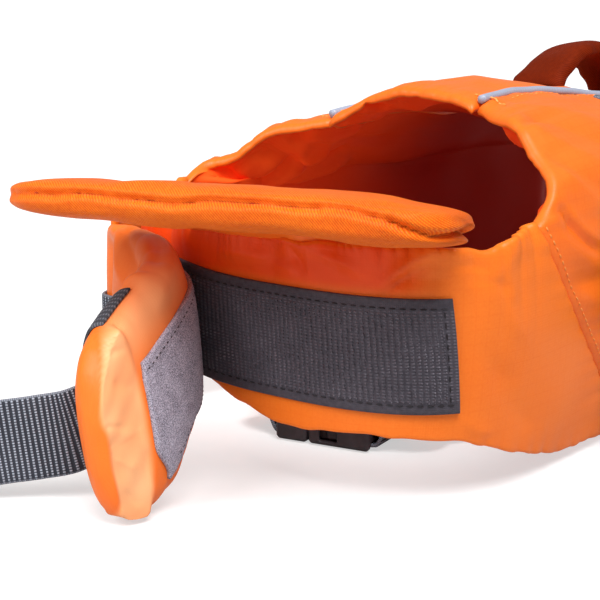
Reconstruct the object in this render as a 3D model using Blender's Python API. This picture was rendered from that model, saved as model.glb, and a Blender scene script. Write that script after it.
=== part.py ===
"""Dog life jacket, small size: filled out, empty, and standing on a table.

The maker's frame, in millimetres: the nape of the neck opening lies above its origin, the wearer
looks along -Y, +X is the wearer's left and the table is at height 0.  Every piece is made in that
frame.  The last step moves the model so that the middle of its floor area is the origin, and writes
it in metres.

The back, sides and chest lie on one outer form.  Its arch is a profile read by girth, the way round
from the spine, and its chest is an outline seen from above, read by arc, the way round from the
front centre.  A padded panel sinks a little at its seams and is as thick as its foam in between.
"""

import math

import bmesh
import bpy
import numpy as np

MM = 0.001
PART_NAME = "dog_life_jacket"

# Middle of the floor area, in the maker's frame
FLOOR_MIDDLE_X = -27.87
FLOOR_MIDDLE_Y = 19.44

# Outer form
HALF_WIDTH = 88.5
SPINE_HEIGHT = 134.0
CHEST_CENTRE = -20.0
CHEST_REACH = 77.0
CHEST_POWER = 3.4
CHEST_TUCK = 0.35
SIDE_SLUMP = 10.5
SLUMP_SPREAD = 40.0
SLUMP_FLOOR = 96.0
SLUMP_HEIGHT = 20.0
REAR_STIFFNESS = 0.24
SADDLE_START = 50.0
SADDLE_REACH = 55.0
SADDLE_SHIFT = 38.0
SADDLE_DEPTH = 5.0
SADDLE_HALF_WIDTH = 40.0
NAPE_STATION = 0.0
REAR_STATION = 241.0

# Cloth, foam and seams
SEAM_GAP = 0.4
CHEST_SEAM_GAP = 1.0
TAPE_GAP = 0.6
BAND_CLOTH = 2.2
EDGE_CLOTH = 3.2
SIDE_FOAM = 14.0
BACK_FOAM = 10.0
FLOOR_FOAM = 9.0
SIDE_SEAM_DIP = 4.0
PIPING_SEAM_DIP = 1.2
FREE_EDGE_DIP = 1.2
PUFF_RISE = 14.0
FOAM_TAPER = 28.0
GATHER_PITCH = 30.0
GATHER_DEPTH = 1.3
GATHER_FADE = 14.0

# Webbing
BELLY_WEBBING = 20.0
NECK_WEBBING = 30.0
BAR_LENGTH = 3.0
BAR_HALF_THICK = 1.5
HANDLE_WEBBING = 25.0
WEBBING_THICK = 1.4
BELLY_STATION = 72.0
STRAP_CLEARANCE = 0.75
TAB_CLEARANCE = 1.7
FLOOR_NOTCH = 2.2


# Rings of a strap: how far apart at most, by way and by turn
FINEST_STEP = 0.3
LARGEST_STEP = 9.0
LARGEST_TURN = 0.30


class Table:
    """A short table of sizes, read on a smooth curve through its rows; the first column is the key."""

    def __init__(self, columns, rows):
        self.columns = columns
        self.values = np.array(rows, dtype=float)
        steps = np.diff(self.values[:, 0])[:, None]
        slopes = np.diff(self.values, axis=0) / steps
        inner = (slopes[:-1] * steps[1:] + slopes[1:] * steps[:-1]) / (steps[:-1] + steps[1:])
        self.tangents = np.vstack((slopes[:1], inner, slopes[-1:]))

    def at(self, column, key):
        """Value of a column where the key column has the value asked for."""
        index = self.columns.index(column)
        keys = self.values[:, 0]
        key = np.clip(key, keys[0], keys[-1])
        row = np.clip(np.searchsorted(keys, key, side="right") - 1, 0, len(keys) - 2)
        step = keys[row + 1] - keys[row]
        part = (key - keys[row]) / step
        start = self.values[row, index]
        end = self.values[row + 1, index]
        leave = self.tangents[row, index] * step
        arrive = self.tangents[row + 1, index] * step
        blend = part * part * (3 - 2 * part)
        return (start + (end - start) * blend + leave * part * (1 - part) ** 2
                - arrive * part * part * (1 - part))


# Half of the arch seen from the front: girth from the spine, half width and height
PROFILE = Table(("girth", "half_width", "height"), (
    (0.0, 0.0, 134.0),
    (20.0, 20.0, 133.2),
    (38.4, 38.0, 130.6),
    (51.0, 50.0, 127.6),
    (63.7, 62.0, 123.4),
    (77.0, 73.0, 116.0),
    (91.0, 82.0, 105.0),
    (107.0, 87.2, 90.0),
    (127.0, 88.5, 70.0),
    (152.0, 87.0, 45.0),
    (177.0, 83.0, 20.0),
    (197.7, 78.0, 0.0),
))
FLOOR_GIRTH = 197.7
SHOULDER_GIRTH = 63.7

# The same wall read upwards, for the chest bands
WALL = Table(("height", "half_width", "girth"), [
    (height, half_width, girth)
    for girth, half_width, height in reversed(PROFILE.values.tolist()) if girth >= SHOULDER_GIRTH
])

# Size of the arch along the body
BODY = Table(("station", "width_share", "spine_height"), (
    (-10.0, 1.0, 133.8),
    (0.0, 1.0, 134.0),
    (28.0, 1.0, 134.8),
    (62.0, 1.0, 132.4),
    (95.0, 0.985, 129.4),
    (130.0, 0.965, 127.5),
    (170.0, 0.94, 126.0),
    (215.0, 0.91, 123.0),
    (245.0, 0.88, 120.0),
))

# Neck edge of the side panel, from the piping down to the top of the chest seam
NECK_EDGE = Table(("girth", "station"), (
    (36.0, -1.0),
    (49.0, -7.5),
    (72.0, -16.0),
    (84.0, -19.5),
    (91.0, -23.0),
    (98.0, -29.5),
    (103.5, -37.0),
))
SEAM_TOP_GIRTH = 103.5

# Chest seam, which runs down and back from the neck edge to the floor
CHEST_SEAM = Table(("girth", "station"), (
    (103.5, -37.0),
    (117.0, -29.0),
    (132.0, -18.5),
    (148.0, -5.0),
    (160.0, 5.5),
    (197.7, 40.0),
))
SEAM_FLOOR_STATION = 40.0

# Rear edge of the side panel
REAR_EDGE = Table(("girth", "station"), (
    (36.0, 238.0),
    (80.0, 237.0),
    (127.0, 234.0),
    (160.0, 229.0),
    (181.0, 219.0),
    (197.7, 204.0),
))

# Piping line between the back and a side panel, by its share of the way to the rear
PIPING_LINE = Table(("share", "girth"), (
    (0.0, 36.0),
    (0.07, 34.6),
    (0.17, 35.0),
    (0.26, 37.6),
    (0.34, 40.0),
    (0.60, 44.5),
    (1.0, 47.0),
))
PIPING_RADIUS = 1.3


def smooth(value):
    """Rise from 0 to 1 without a corner."""
    part = np.clip(value, 0.0, 1.0)
    return part * part * (3 - 2 * part)


def rise(distance, reach):
    """Quarter round from 0 at an edge to 1 at the reach, as stuffed cloth rises from its seam."""
    part = np.clip(distance / reach, 0.0, 1.0)
    return np.sqrt(1 - (1 - part) ** 2)


def unit(vectors):
    """Vectors of length one."""
    lengths = np.linalg.norm(vectors, axis=-1, keepdims=True)
    return vectors / np.maximum(lengths, 1e-9)


# ---------------------------------------------------------------- the outer form


def slump(x, y, z):
    """Height after the back has sunk between its pipings and the wearer's right side has sagged."""
    behind = smooth((y - SADDLE_START) / SADDLE_REACH)
    middle = SADDLE_SHIFT * behind
    side = smooth((middle - x) / (SLUMP_SPREAD + middle))
    along = 1 - REAR_STIFFNESS * smooth(y / 120.0)
    sunk = SADDLE_DEPTH * behind * np.clip(1 - (x / SADDLE_HALF_WIDTH) ** 2, 0.0, 1.0)
    return z - (sunk + SIDE_SLUMP * side * along) * smooth((z - SLUMP_FLOOR) / SLUMP_HEIGHT)


def chest_half_width(station):
    """Half width of the chest's outline at a station."""
    forward = np.clip((CHEST_CENTRE - station) / CHEST_REACH, 0.0, 1.0)
    return HALF_WIDTH * (1 - forward ** CHEST_POWER) ** (1 / CHEST_POWER)


def arch_point(girth, station):
    """Outer form over the back and sides; girth is positive on the wearer's left."""
    around = np.abs(girth)
    share = BODY.at("width_share", station) * chest_half_width(station) / HALF_WIDTH
    x = np.sign(girth) * PROFILE.at("half_width", around) * share
    z = PROFILE.at("height", around) * BODY.at("spine_height", station) / SPINE_HEIGHT
    return np.stack((x, station + 0 * x, slump(x, station, z)), axis=-1)


def chest_outline():
    """Arc, half width and station round the chest, from the front centre back along the side."""
    angle = np.linspace(0.0, math.pi / 2, 241)
    x = HALF_WIDTH * np.sin(angle) ** (2 / CHEST_POWER)
    y = CHEST_CENTRE - CHEST_REACH * np.cos(angle) ** (2 / CHEST_POWER)
    x = np.append(x, HALF_WIDTH)
    y = np.append(y, SEAM_FLOOR_STATION + 20.0)
    arc = np.concatenate(([0.0], np.cumsum(np.hypot(np.diff(x), np.diff(y)))))
    return arc, x, y


OUTLINE_ARC, OUTLINE_X, OUTLINE_Y = chest_outline()


def chest_point(arc, height):
    """Outer form round the chest; arc is positive on the wearer's left."""
    around = np.abs(arc)
    x = np.interp(around, OUTLINE_ARC, OUTLINE_X)
    y = np.interp(around, OUTLINE_ARC, OUTLINE_Y)
    fullness = WALL.at("half_width", height) / HALF_WIDTH
    ahead = np.minimum(y - CHEST_CENTRE, 0.0)
    x = np.sign(arc) * x * fullness
    y = y - ahead * CHEST_TUCK * (1 - fullness)
    return np.stack((x, y, slump(x, y, height)), axis=-1)


def arc_of_station(station):
    """Arc round the chest at which its side reaches a station."""
    return np.interp(station, OUTLINE_Y, OUTLINE_ARC)


def grid_normals(points, outward):
    """Unit normals of a grid of points, on the side of it that faces away from a middle point."""
    along = np.gradient(points, axis=0)
    across = np.gradient(points, axis=1)
    normals = unit(np.cross(along, across))
    middle = points[points.shape[0] // 2, points.shape[1] // 2]
    facing = normals[points.shape[0] // 2, points.shape[1] // 2]
    if np.dot(facing, middle - np.asarray(outward)) < 0:
        normals = -normals
    return normals


BODY_MIDDLE = (0.0, 60.0, 40.0)


# ---------------------------------------------------------------- making solids


def cloth(name, colour, roughness):
    """Material of one piece."""
    material = bpy.data.materials.new(name + "_finish")
    material.use_nodes = True
    shader = material.node_tree.nodes["Principled BSDF"]
    shader.inputs["Base Color"].default_value = (*colour, 1.0)
    shader.inputs["Roughness"].default_value = roughness
    shader.inputs["Metallic"].default_value = 0.0
    return material


PACK_CLOTH = ((0.92, 0.20, 0.03), 0.55)
RIPSTOP = ((0.95, 0.23, 0.04), 0.5)
TWILL = ((0.90, 0.17, 0.02), 0.65)
HOOK_TAPE = ((0.08, 0.07, 0.085), 0.8)
LOOP_TAPE = ((0.16, 0.14, 0.17), 0.95)
WEBBING = ((0.06, 0.065, 0.08), 0.75)
PIPING = ((0.35, 0.38, 0.48), 0.35)
HANDLE_CLOTH = ((0.25, 0.06, 0.01), 0.6)
PLASTIC = ((0.025, 0.02, 0.024), 0.4)


def to_metres(points):
    """Points of the maker's frame, in metres about the middle of the floor area."""
    shifted = np.array(points, dtype=float) - (FLOOR_MIDDLE_X, FLOOR_MIDDLE_Y, 0.0)
    return shifted * MM


def add_object(name, mesh, finish, crease=40.0):
    """Link a finished mesh as one named piece."""
    mesh.shade_smooth()
    mesh.set_sharp_from_angle(angle=math.radians(crease))
    mesh.materials.append(cloth(name, *finish))
    piece = bpy.data.objects.new(name, mesh)
    PIECES.objects.link(piece)
    return piece


def mesh_from(name, bm):
    """Mesh of a bmesh, with its faces turned outwards."""
    bmesh.ops.recalc_face_normals(bm, faces=bm.faces)
    mesh = bpy.data.meshes.new(name)
    bm.to_mesh(mesh)
    bm.free()
    return mesh


def walled_sheet(name, outer, inner, finish):
    """One closed body between an outer and an inner grid of points."""
    rows, columns = outer.shape[:2]
    bm = bmesh.new()
    layers = []
    for grid in (outer, inner):
        layers.append([[bm.verts.new(point) for point in row] for row in to_metres(grid)])
    for layer in layers:
        for i in range(rows - 1):
            for j in range(columns - 1):
                bm.faces.new((layer[i][j], layer[i][j + 1], layer[i + 1][j + 1], layer[i + 1][j]))
    border = [(0, j) for j in range(columns - 1)]
    border += [(i, columns - 1) for i in range(rows - 1)]
    border += [(rows - 1, j) for j in range(columns - 1, 0, -1)]
    border += [(i, 0) for i in range(rows - 1, 0, -1)]
    top, under = layers
    for (i, j), (k, m) in zip(border, border[1:] + border[:1]):
        bm.faces.new((top[i][j], top[k][m], under[k][m], under[i][j]))
    return add_object(name, mesh_from(name, bm), finish)


def ringed_body(name, rings, finish, crease=50.0):
    """One closed body through a row of closed rings, capped at both ends."""
    bm = bmesh.new()
    loops = [[bm.verts.new(point) for point in ring] for ring in to_metres(rings)]
    for first, second in zip(loops, loops[1:]):
        count = len(first)
        for k in range(count):
            following = (k + 1) % count
            bm.faces.new((first[k], first[following], second[following], second[k]))
    bm.faces.new(loops[0])
    bm.faces.new(loops[-1])
    return add_object(name, mesh_from(name, bm), finish, crease)


def route_points(route):
    """Points and width directions along a smooth curve through a route's rows, closer at its bends."""
    rows = np.array(route, dtype=float)
    keys = np.concatenate(([0.0], np.cumsum(np.linalg.norm(np.diff(rows[:, :3], axis=0), axis=1))))
    curve = Table(("run", "x", "y", "z", "wx", "wy", "wz"), np.column_stack((keys, rows)))
    run = np.linspace(0.0, keys[-1], int(keys[-1] / FINEST_STEP) + 2)
    places = np.stack([curve.at(column, run) for column in ("x", "y", "z")], axis=-1)
    widths = unit(np.stack([curve.at(column, run) for column in ("wx", "wy", "wz")], axis=-1))
    ways = unit(np.gradient(places, axis=0))
    turned = np.linalg.norm(np.diff(ways, axis=0), axis=1) + np.linalg.norm(np.diff(widths, axis=0), axis=1)
    walked = np.linalg.norm(np.diff(places, axis=0), axis=1)
    wear = np.cumsum(turned / LARGEST_TURN + walked / LARGEST_STEP)
    count = int(np.ceil(wear[-1]))
    picks = np.searchsorted(wear, np.linspace(0.0, wear[-1], count + 1)[1:-1]) + 1
    picks = np.unique(np.concatenate(([0], picks, [len(run) - 1])))
    return places[picks], widths[picks]


def ribbon_rings(places, widths, width, thick):
    """Rectangular rings of a flat strap whose width turns with the directions given."""
    tangents = unit(np.gradient(places, axis=0))
    across = widths - tangents * np.sum(widths * tangents, axis=-1, keepdims=True)
    across = unit(across)
    normals = np.cross(tangents, across)
    corners = ((-1, -1), (1, -1), (1, 1), (-1, 1))
    return np.stack([places + across * (a * width / 2) + normals * (b * thick / 2)
                     for a, b in corners], axis=1)


def strap(name, route, width):
    """A flat webbing strap along a route of place and width direction."""
    places, widths = route_points(route)
    return ringed_body(name, ribbon_rings(places, widths, width, WEBBING_THICK), WEBBING)


def bar_wrap(tail, away, up, across, climb):
    """Route rows of webbing folded round a buckle's tail bar, from its sewn end back out again.

    The two layers leave the bar side by side, climbing at an angle in degrees.
    """
    angle = math.radians(climb)
    layer = WEBBING_THICK / 2 + 0.25
    wrap = BAR_HALF_THICK + WEBBING_THICK / 2 + 0.5
    inside = -(BAR_LENGTH + WEBBING_THICK / 2 + 0.5)
    leaving = [(run * math.cos(angle) + turn * layer * math.sin(angle),
                run * math.sin(angle) - turn * layer * math.cos(angle))
               for run, turn in ((9.0, 1), (5.6, 1), (5.6, -1), (9.0, -1))]
    rows = (
        leaving[0],
        leaving[1],
        (0.8, -wrap),
        (-1.6, -wrap),
        (inside + 0.4, -wrap * 0.85),
        (inside, 0.0),
        (inside + 0.4, wrap * 0.85),
        (-1.6, wrap),
        (0.6, wrap + 0.1),
        leaving[2],
        leaving[3],
    )
    return [np.concatenate((np.asarray(tail) + away * run + up * lift, across)) for run, lift in rows]


# ---------------------------------------------------------------- back and side panels

SIDE_GIRTHS = (37.7, 44.0, 52.0, 61.0, 70.0, 78.0, 85.0, 91.0, 97.0, 103.5,
               113.0, 124.0, 135.0, 146.0, 157.0, 168.0, 179.0, 190.0, 197.7)
SIDE_SHARES = (0.0, 0.015, 0.04, 0.075, 0.117, 0.127, 0.195, 0.264, 0.274, 0.33,
               0.40, 0.48, 0.56, 0.64, 0.73, 0.82, 0.895, 0.95, 0.985, 1.0)
PIPING_ROOM = PIPING_RADIUS + SEAM_GAP


def side_front_station(girth):
    """Front edge of a side panel: the neck edge, then the chest seam."""
    return np.where(girth < SEAM_TOP_GIRTH, NECK_EDGE.at("station", girth),
                    CHEST_SEAM.at("station", girth))


def side_grid(girths, shares):
    """Girth and station of a side panel's grid, and the distances to its edges."""
    first = PIPING_LINE.at("girth", 0.0) + PIPING_ROOM
    part = ((np.asarray(girths) - first) / (FLOOR_GIRTH - first))[:, None]
    share = np.asarray(shares)[None, :]
    top = PIPING_LINE.at("girth", share) + PIPING_ROOM
    girth = top + part * (FLOOR_GIRTH - top)
    front_girth = first + part * (FLOOR_GIRTH - first)
    front = side_front_station(front_girth)
    rear = REAR_EDGE.at("station", front_girth)
    station = front + share * (rear - front)
    distances = {
        "top": girth - top,
        "front": (station - front) * np.where(front_girth < SEAM_TOP_GIRTH, 0.95, 0.7),
        "rear": rear - station,
        "floor": FLOOR_GIRTH - girth,
        "front_girth": front_girth + 0 * share,
    }
    return girth, station, distances


def side_surfaces(side, girths, shares):
    """Outer and inner points of a side panel; side is 1 on the wearer's left and -1 on the right."""
    girth, station, gaps = side_grid(girths, shares)
    form = arch_point(side * girth, station)
    normals = grid_normals(form, BODY_MIDDLE)
    on_seam = smooth((gaps["front_girth"] - SEAM_TOP_GIRTH) / 8.0 + 1.0)
    front_dip = FREE_EDGE_DIP + (SIDE_SEAM_DIP - FREE_EDGE_DIP) * on_seam
    dip = (PIPING_SEAM_DIP * (1 - rise(gaps["top"], PUFF_RISE))
           + front_dip * (1 - rise(gaps["front"], PUFF_RISE))
           + FREE_EDGE_DIP * (1 - rise(gaps["rear"], PUFF_RISE)))
    gather = (GATHER_DEPTH * (1 - on_seam) * np.exp(-gaps["front"] / GATHER_FADE)
              * np.cos(2 * math.pi * gaps["front_girth"] / GATHER_PITCH))
    foam = np.minimum.reduce([smooth(gaps[edge] / FOAM_TAPER) for edge in ("top", "front", "rear")])
    floor_share = (FLOOR_FOAM - EDGE_CLOTH) / (SIDE_FOAM - EDGE_CLOTH)
    foam = foam * (floor_share + (1 - floor_share) * rise(gaps["floor"], 30.0))
    depth = dip + EDGE_CLOTH + (SIDE_FOAM - EDGE_CLOTH - dip) * foam
    outer = form + normals * (gather - dip)[..., None]
    inner = form - normals * (depth - gather)[..., None]
    return outer, inner, station


def side_panel(name, side):
    """Foam side panel from the piping down to the floor, with a low notch where the strap passes."""
    outer, inner, station = side_surfaces(side, SIDE_GIRTHS, SIDE_SHARES)
    under_strap = np.abs(station[-1] - BELLY_STATION) < BELLY_WEBBING / 2 + 2.5
    floor = np.where(under_strap, FLOOR_NOTCH, 0.0)
    outer[-1, :, 2] = floor
    inner[-1, :, 2] = floor
    return walled_sheet(name, outer, inner, PACK_CLOTH)


def side_outer_at(side, girths, station):
    """Outer points of a side panel at one station, with its outward and rearward directions."""
    places = []
    for girth in girths:
        front = side_front_station(girth)
        rear = REAR_EDGE.at("station", girth)
        share = (station - front) / (rear - front)
        step = 0.01
        patch, _, _ = side_surfaces(side, (girth - 1.0, girth, girth + 1.0),
                                    (share - step, share, share + step))
        rearward = unit(patch[1, 2] - patch[1, 0])
        places.append((patch[1, 1], grid_normals(patch, BODY_MIDDLE)[1, 1], rearward))
    return places


BACK_SHARES = (0.0, 0.02, 0.05, 0.10, 0.17, 0.24, 0.31, 0.38, 0.45, 0.52,
               0.60, 0.68, 0.76, 0.84, 0.91, 0.96, 0.985, 1.0)
BACK_PLACES = (-1.0, -0.9, -0.75, -0.5, -0.25, 0.0, 0.25, 0.5, 0.75, 0.9, 1.0)
PIPING_SETBACK = 4.0
REAR_SETBACK = 3.0


def back_surfaces(places, shares):
    """Outer and inner points of the back panel, across by place and back by share."""
    place = np.asarray(places)[:, None]
    share = np.asarray(shares)[None, :]
    half = PIPING_LINE.at("girth", share) - PIPING_ROOM
    girth = place * half
    front = NAPE_STATION - PIPING_SETBACK * place ** 2
    rear = REAR_STATION - REAR_SETBACK * place ** 2
    station = front + share * (rear - front)
    form = arch_point(girth, station)
    normals = grid_normals(form, BODY_MIDDLE)
    side_gap = half - np.abs(girth)
    dip = (PIPING_SEAM_DIP * (1 - rise(side_gap, PUFF_RISE))
           + FREE_EDGE_DIP * (1 - rise(station - front, PUFF_RISE))
           + FREE_EDGE_DIP * (1 - rise(rear - station, PUFF_RISE)))
    foam = np.minimum.reduce([smooth(gap / FOAM_TAPER)
                              for gap in (side_gap, station - front, rear - station)])
    depth = dip + EDGE_CLOTH + (BACK_FOAM - EDGE_CLOTH - dip) * foam
    return form - normals * dip[..., None], form - normals * depth[..., None]


def back_panel():
    """Foam back panel between the two pipings."""
    outer, inner = back_surfaces(BACK_PLACES, BACK_SHARES)
    return walled_sheet("back_panel", outer, inner, PACK_CLOTH)


def piping_route(side, count):
    """Points along a piping, which lies in the seam between the back and a side panel."""
    share = np.linspace(0.0, 1.0, count)
    girth = PIPING_LINE.at("girth", share)
    front = NECK_EDGE.at("station", girth[0])
    rear = REAR_EDGE.at("station", PIPING_LINE.at("girth", 0.0))
    station = front + share * (rear - front)
    form = arch_point(side * girth, station)
    near = arch_point(side * (girth + 1.0), station)
    along = unit(np.gradient(form, axis=0))
    outward = unit(np.cross(along, near - form))
    outward = outward * np.sign(outward[:, 2:3])
    return form - outward * (PIPING_SEAM_DIP - PIPING_RADIUS + 0.5)


def piping(name, side):
    """Round piping cord in the seam."""
    curve = bpy.data.curves.new(name, "CURVE")
    curve.dimensions = "3D"
    curve.bevel_depth = PIPING_RADIUS * MM
    curve.bevel_resolution = 1
    curve.use_fill_caps = True
    points = to_metres(piping_route(side, 28))
    spline = curve.splines.new("POLY")
    spline.points.add(len(points) - 1)
    for spline_point, place in zip(spline.points, points):
        spline_point.co = (*place, 1.0)
    guide = bpy.data.objects.new(name + "_guide", curve)
    PIECES.objects.link(guide)
    evaluated = guide.evaluated_get(bpy.context.evaluated_depsgraph_get())
    mesh = bpy.data.meshes.new_from_object(evaluated)
    bpy.data.objects.remove(guide)
    bm = bmesh.new()
    bm.from_mesh(mesh)
    bmesh.ops.remove_doubles(bm, verts=bm.verts, dist=0.02 * MM)
    bmesh.ops.recalc_face_normals(bm, faces=bm.faces)
    bm.to_mesh(mesh)
    bm.free()
    return add_object(name, mesh, PIPING)


# ---------------------------------------------------------------- chest bands

BAND_FOOT = 4.0
SEAM_TOP_HEIGHT = float(PROFILE.at("height", SEAM_TOP_GIRTH))
CASING_HEIGHT = 9.0
CASING_SWELL = 0.7
BAND_GATHER_PITCH = 27.0
BAND_SEAM_DIP = 3.4
BAND_DIP_REACH = 40.0
BAND_ROWS = (0.0, 0.07, 0.22, 0.40, 0.58, 0.74, 0.855, 0.93, 1.0)

# Lower and upper edge of the left band by arc; it runs on past the front centre under the flap
LEFT_BAND = Table(("arc", "bottom", "top"), (
    (-64.0, 40.0, 88.0),
    (-40.0, 39.0, 88.5),
    (-18.0, 36.0, 89.0),
    (-5.0, 31.0, 89.0),
    (5.0, 27.8, 89.0),
    (17.0, 24.8, 89.0),
    (30.0, 24.8, 89.2),
    (50.0, 26.0, 89.5),
    (76.0, 25.2, 89.2),
    (88.0, 24.0, 88.8),
    (102.0, 21.2, 88.2),
    (110.0, 19.4, 90.2),
    (122.0, 16.6, 93.0),
    (143.0, 12.0, 94.0),
    (205.0, 4.0, 94.0),
))
LEFT_BAND_END = -60.0
LAP_START = -8.0
LAP_REACH = 40.0
LAP_INSET = 5.0

# The right band stops where the padded flap is sewn on
RIGHT_BAND = Table(("arc", "bottom", "top"), (
    (60.0, 33.0, 89.0),
    (90.0, 27.0, 89.0),
    (110.0, 21.0, 90.5),
    (124.0, 16.6, 93.0),
    (205.0, 4.0, 94.0),
))
RIGHT_BAND_END = 70.0
OUTSET_START = 112.0
OUTSET_REACH = 40.0
FLAP_OUTSET = 7.0


def band_face(side, arc, height, top):
    """Outer points and normals of a chest band, before its seam dip."""
    form = chest_point(side * arc, height)
    normals = grid_normals(form, BODY_MIDDLE)
    if side > 0:
        offset = -LAP_INSET * smooth((LAP_START - arc) / LAP_REACH)
    else:
        offset = FLAP_OUTSET * smooth((OUTSET_START - arc) / OUTSET_REACH)
    below = top - height
    gather = (GATHER_DEPTH * np.cos(2 * math.pi * arc / BAND_GATHER_PITCH)
              * (1 - smooth(below / GATHER_FADE)))
    return form, normals, offset + gather


def band_grid(side, table, end, columns):
    """Arc, height and upper edge over a chest band's grid, and the distance from its seam."""
    row = np.asarray(BAND_ROWS)[:, None]
    seam_height = BAND_FOOT + row * (SEAM_TOP_HEIGHT - BAND_FOOT)
    station = CHEST_SEAM.at("station", WALL.at("girth", seam_height)) - CHEST_SEAM_GAP
    start = arc_of_station(station)
    share = np.linspace(0.0, 1.0, columns)[None, :]
    arc = start + share * (end - start)
    body = table.at("bottom", arc) + row * (table.at("top", arc) - table.at("bottom", arc))
    blend = smooth(share / 0.45)
    height = seam_height + (body - seam_height) * blend
    top = SEAM_TOP_HEIGHT + (table.at("top", arc) - SEAM_TOP_HEIGHT) * blend
    return arc, height, top, start - arc


def band_surfaces(side, table, end, columns):
    """Outer and inner points of a chest band."""
    arc, height, top, seam_gap = band_grid(side, table, end, columns)
    form, normals, offset = band_face(side, arc, height, top)
    seam_dip = BAND_SEAM_DIP * (1 - smooth(seam_gap / BAND_DIP_REACH))
    swell = CASING_SWELL * (1 - smooth((top - height) / CASING_HEIGHT - 0.4))
    outer = form + normals * (offset - seam_dip + swell)[..., None]
    inner = form + normals * (offset - seam_dip - swell - BAND_CLOTH)[..., None]
    return outer, inner


def chest_band(name, side, table, end, columns):
    """Thin doubled band from the chest seam round to the front."""
    outer, inner = band_surfaces(side, table, end, columns)
    return walled_sheet(name, outer, inner, RIPSTOP)


# ---------------------------------------------------------------- hook strip on the left band

HOOK_BOTTOM = 34.6
HOOK_TOP = 73.8
HOOK_START = 84.6
HOOK_SLANT = 0.13
HOOK_END = -50.0
HOOK_THICK = 1.2
HOOK_CLIMB = 3.0


def hook_face(columns, rows, lift):
    """Points of the left band's face under the hook strip, lifted off it."""
    height = np.linspace(HOOK_BOTTOM, HOOK_TOP, rows)[:, None]
    start = HOOK_START + HOOK_SLANT * ((HOOK_BOTTOM + HOOK_TOP) / 2 - height)
    arc = start + np.linspace(0.0, 1.0, columns)[None, :] * (HOOK_END - start)
    height = height + HOOK_CLIMB * smooth((10.0 - arc) / 60.0)
    form, normals, offset = band_face(1, arc, height, height + 100.0)
    station = CHEST_SEAM.at("station", WALL.at("girth", height))
    seam_dip = BAND_SEAM_DIP * (1 - smooth((arc_of_station(station) - arc) / BAND_DIP_REACH))
    return form + normals * (offset - seam_dip + lift)[..., None]


def hook_strip():
    """Hook tape sewn flat on the left band, running on under the flap."""
    return walled_sheet("hook_strip", hook_face(26, 3, TAPE_GAP + HOOK_THICK),
                        hook_face(26, 3, TAPE_GAP), HOOK_TAPE)


# ---------------------------------------------------------------- padded flap and its loop patch

# Middle line of the flap from its seam on the right band, round its bend, to its rounded tip
FLAP = (
    # x, y, half thickness, middle height, half height, lean
    (-68.6, -92.6, 1.7, 57.0, 25.0, 0.0),
    (-63.0, -96.0, 4.3, 57.0, 28.0, 0.0),
    (-55.0, -100.6, 7.6, 57.0, 29.5, 0.0),
    (-46.0, -104.4, 9.4, 57.0, 30.5, 0.0),
    (-37.0, -107.2, 10.0, 56.5, 31.0, 0.0),
    (-29.0, -109.0, 10.0, 56.0, 31.0, 0.02),
    (-22.5, -111.2, 10.0, 54.5, 31.0, 0.05),
    (-17.5, -114.6, 10.0, 52.5, 31.2, 0.08),
    (-14.0, -119.5, 10.3, 50.0, 31.5, 0.11),
    (-11.0, -127.0, 10.6, 45.5, 32.0, 0.13),
    (-8.5, -136.0, 11.0, 40.0, 32.2, 0.18),
    (-6.5, -145.0, 11.0, 35.0, 32.4, 0.18),
    (-5.0, -153.0, 10.4, 31.6, 30.6, 0.18),
    (-4.0, -159.0, 8.8, 29.4, 26.6, 0.18),
    (-3.3, -163.0, 6.0, 28.0, 19.5, 0.18),
    (-3.0, -165.4, 2.6, 27.4, 10.0, 0.18),
)
FLAP_SIDES = 18
FLAP_POWER = 2.7
LOOP_FIRST = 1
LOOP_LAST = 11
LOOP_THICK = 1.0
LOOP_HALF_HEIGHT = 20.0


def flap_frame():
    """Middle points, inner-face normals and up directions along the flap."""
    rows = np.array(FLAP)
    middle = np.column_stack((rows[:, 0], rows[:, 1], rows[:, 3]))
    along = np.gradient(middle, axis=0)
    along[:, 2] = 0.0
    along = unit(along)
    inner = np.column_stack((-along[:, 1], along[:, 0], np.zeros(len(rows))))
    up = unit(np.array((0.0, 0.0, 1.0)) - inner * rows[:, 5:6])
    return rows, middle, inner, up


def flap_rings():
    """Pillow-shaped rings along the flap."""
    rows, middle, inner, up = flap_frame()
    angle = np.arange(FLAP_SIDES) * 2 * math.pi / FLAP_SIDES
    flat = np.sign(np.cos(angle)) * np.abs(np.cos(angle)) ** (2 / FLAP_POWER)
    tall = np.sign(np.sin(angle)) * np.abs(np.sin(angle)) ** (2 / FLAP_POWER)
    rings = (middle[:, None] + inner[:, None] * (rows[:, 2:3] * flat)[..., None]
             + up[:, None] * (rows[:, 4:5] * tall)[..., None])
    return rings


def flap_face(station, tall, lift, face):
    """Point on the flap's inner (face 1) or outer (face -1) side, lifted off it."""
    rows, middle, inner, up = flap_frame()
    keys = np.arange(len(rows), dtype=float)
    share = np.clip(abs(tall) / np.interp(station, keys, rows[:, 4]), 0.0, 0.98)
    half = np.interp(station, keys, rows[:, 2]) * (1 - share ** FLAP_POWER) ** (1 / FLAP_POWER)
    place = np.array([np.interp(station, keys, middle[:, k]) for k in range(3)])
    facing = unit(np.array([np.interp(station, keys, inner[:, k]) for k in range(3)]))
    rise_way = unit(np.array([np.interp(station, keys, up[:, k]) for k in range(3)]))
    return place + facing * face * (half + lift) + rise_way * tall


def chest_flap():
    """Padded flap."""
    return ringed_body("chest_flap", flap_rings(), PACK_CLOTH)


def loop_face(lift):
    """Points of the flap's inner face under the loop patch, lifted off it."""
    stations = np.arange(LOOP_FIRST, LOOP_LAST + 0.01, 0.5)
    grid = []
    for station in stations:
        room = min(LOOP_HALF_HEIGHT, 0.72 * np.interp(station, range(len(FLAP)), np.array(FLAP)[:, 4]))
        grid.append([flap_face(station, tall, lift, 1) for tall in np.linspace(-room, room, 5)])
    return np.array(grid)


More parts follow.
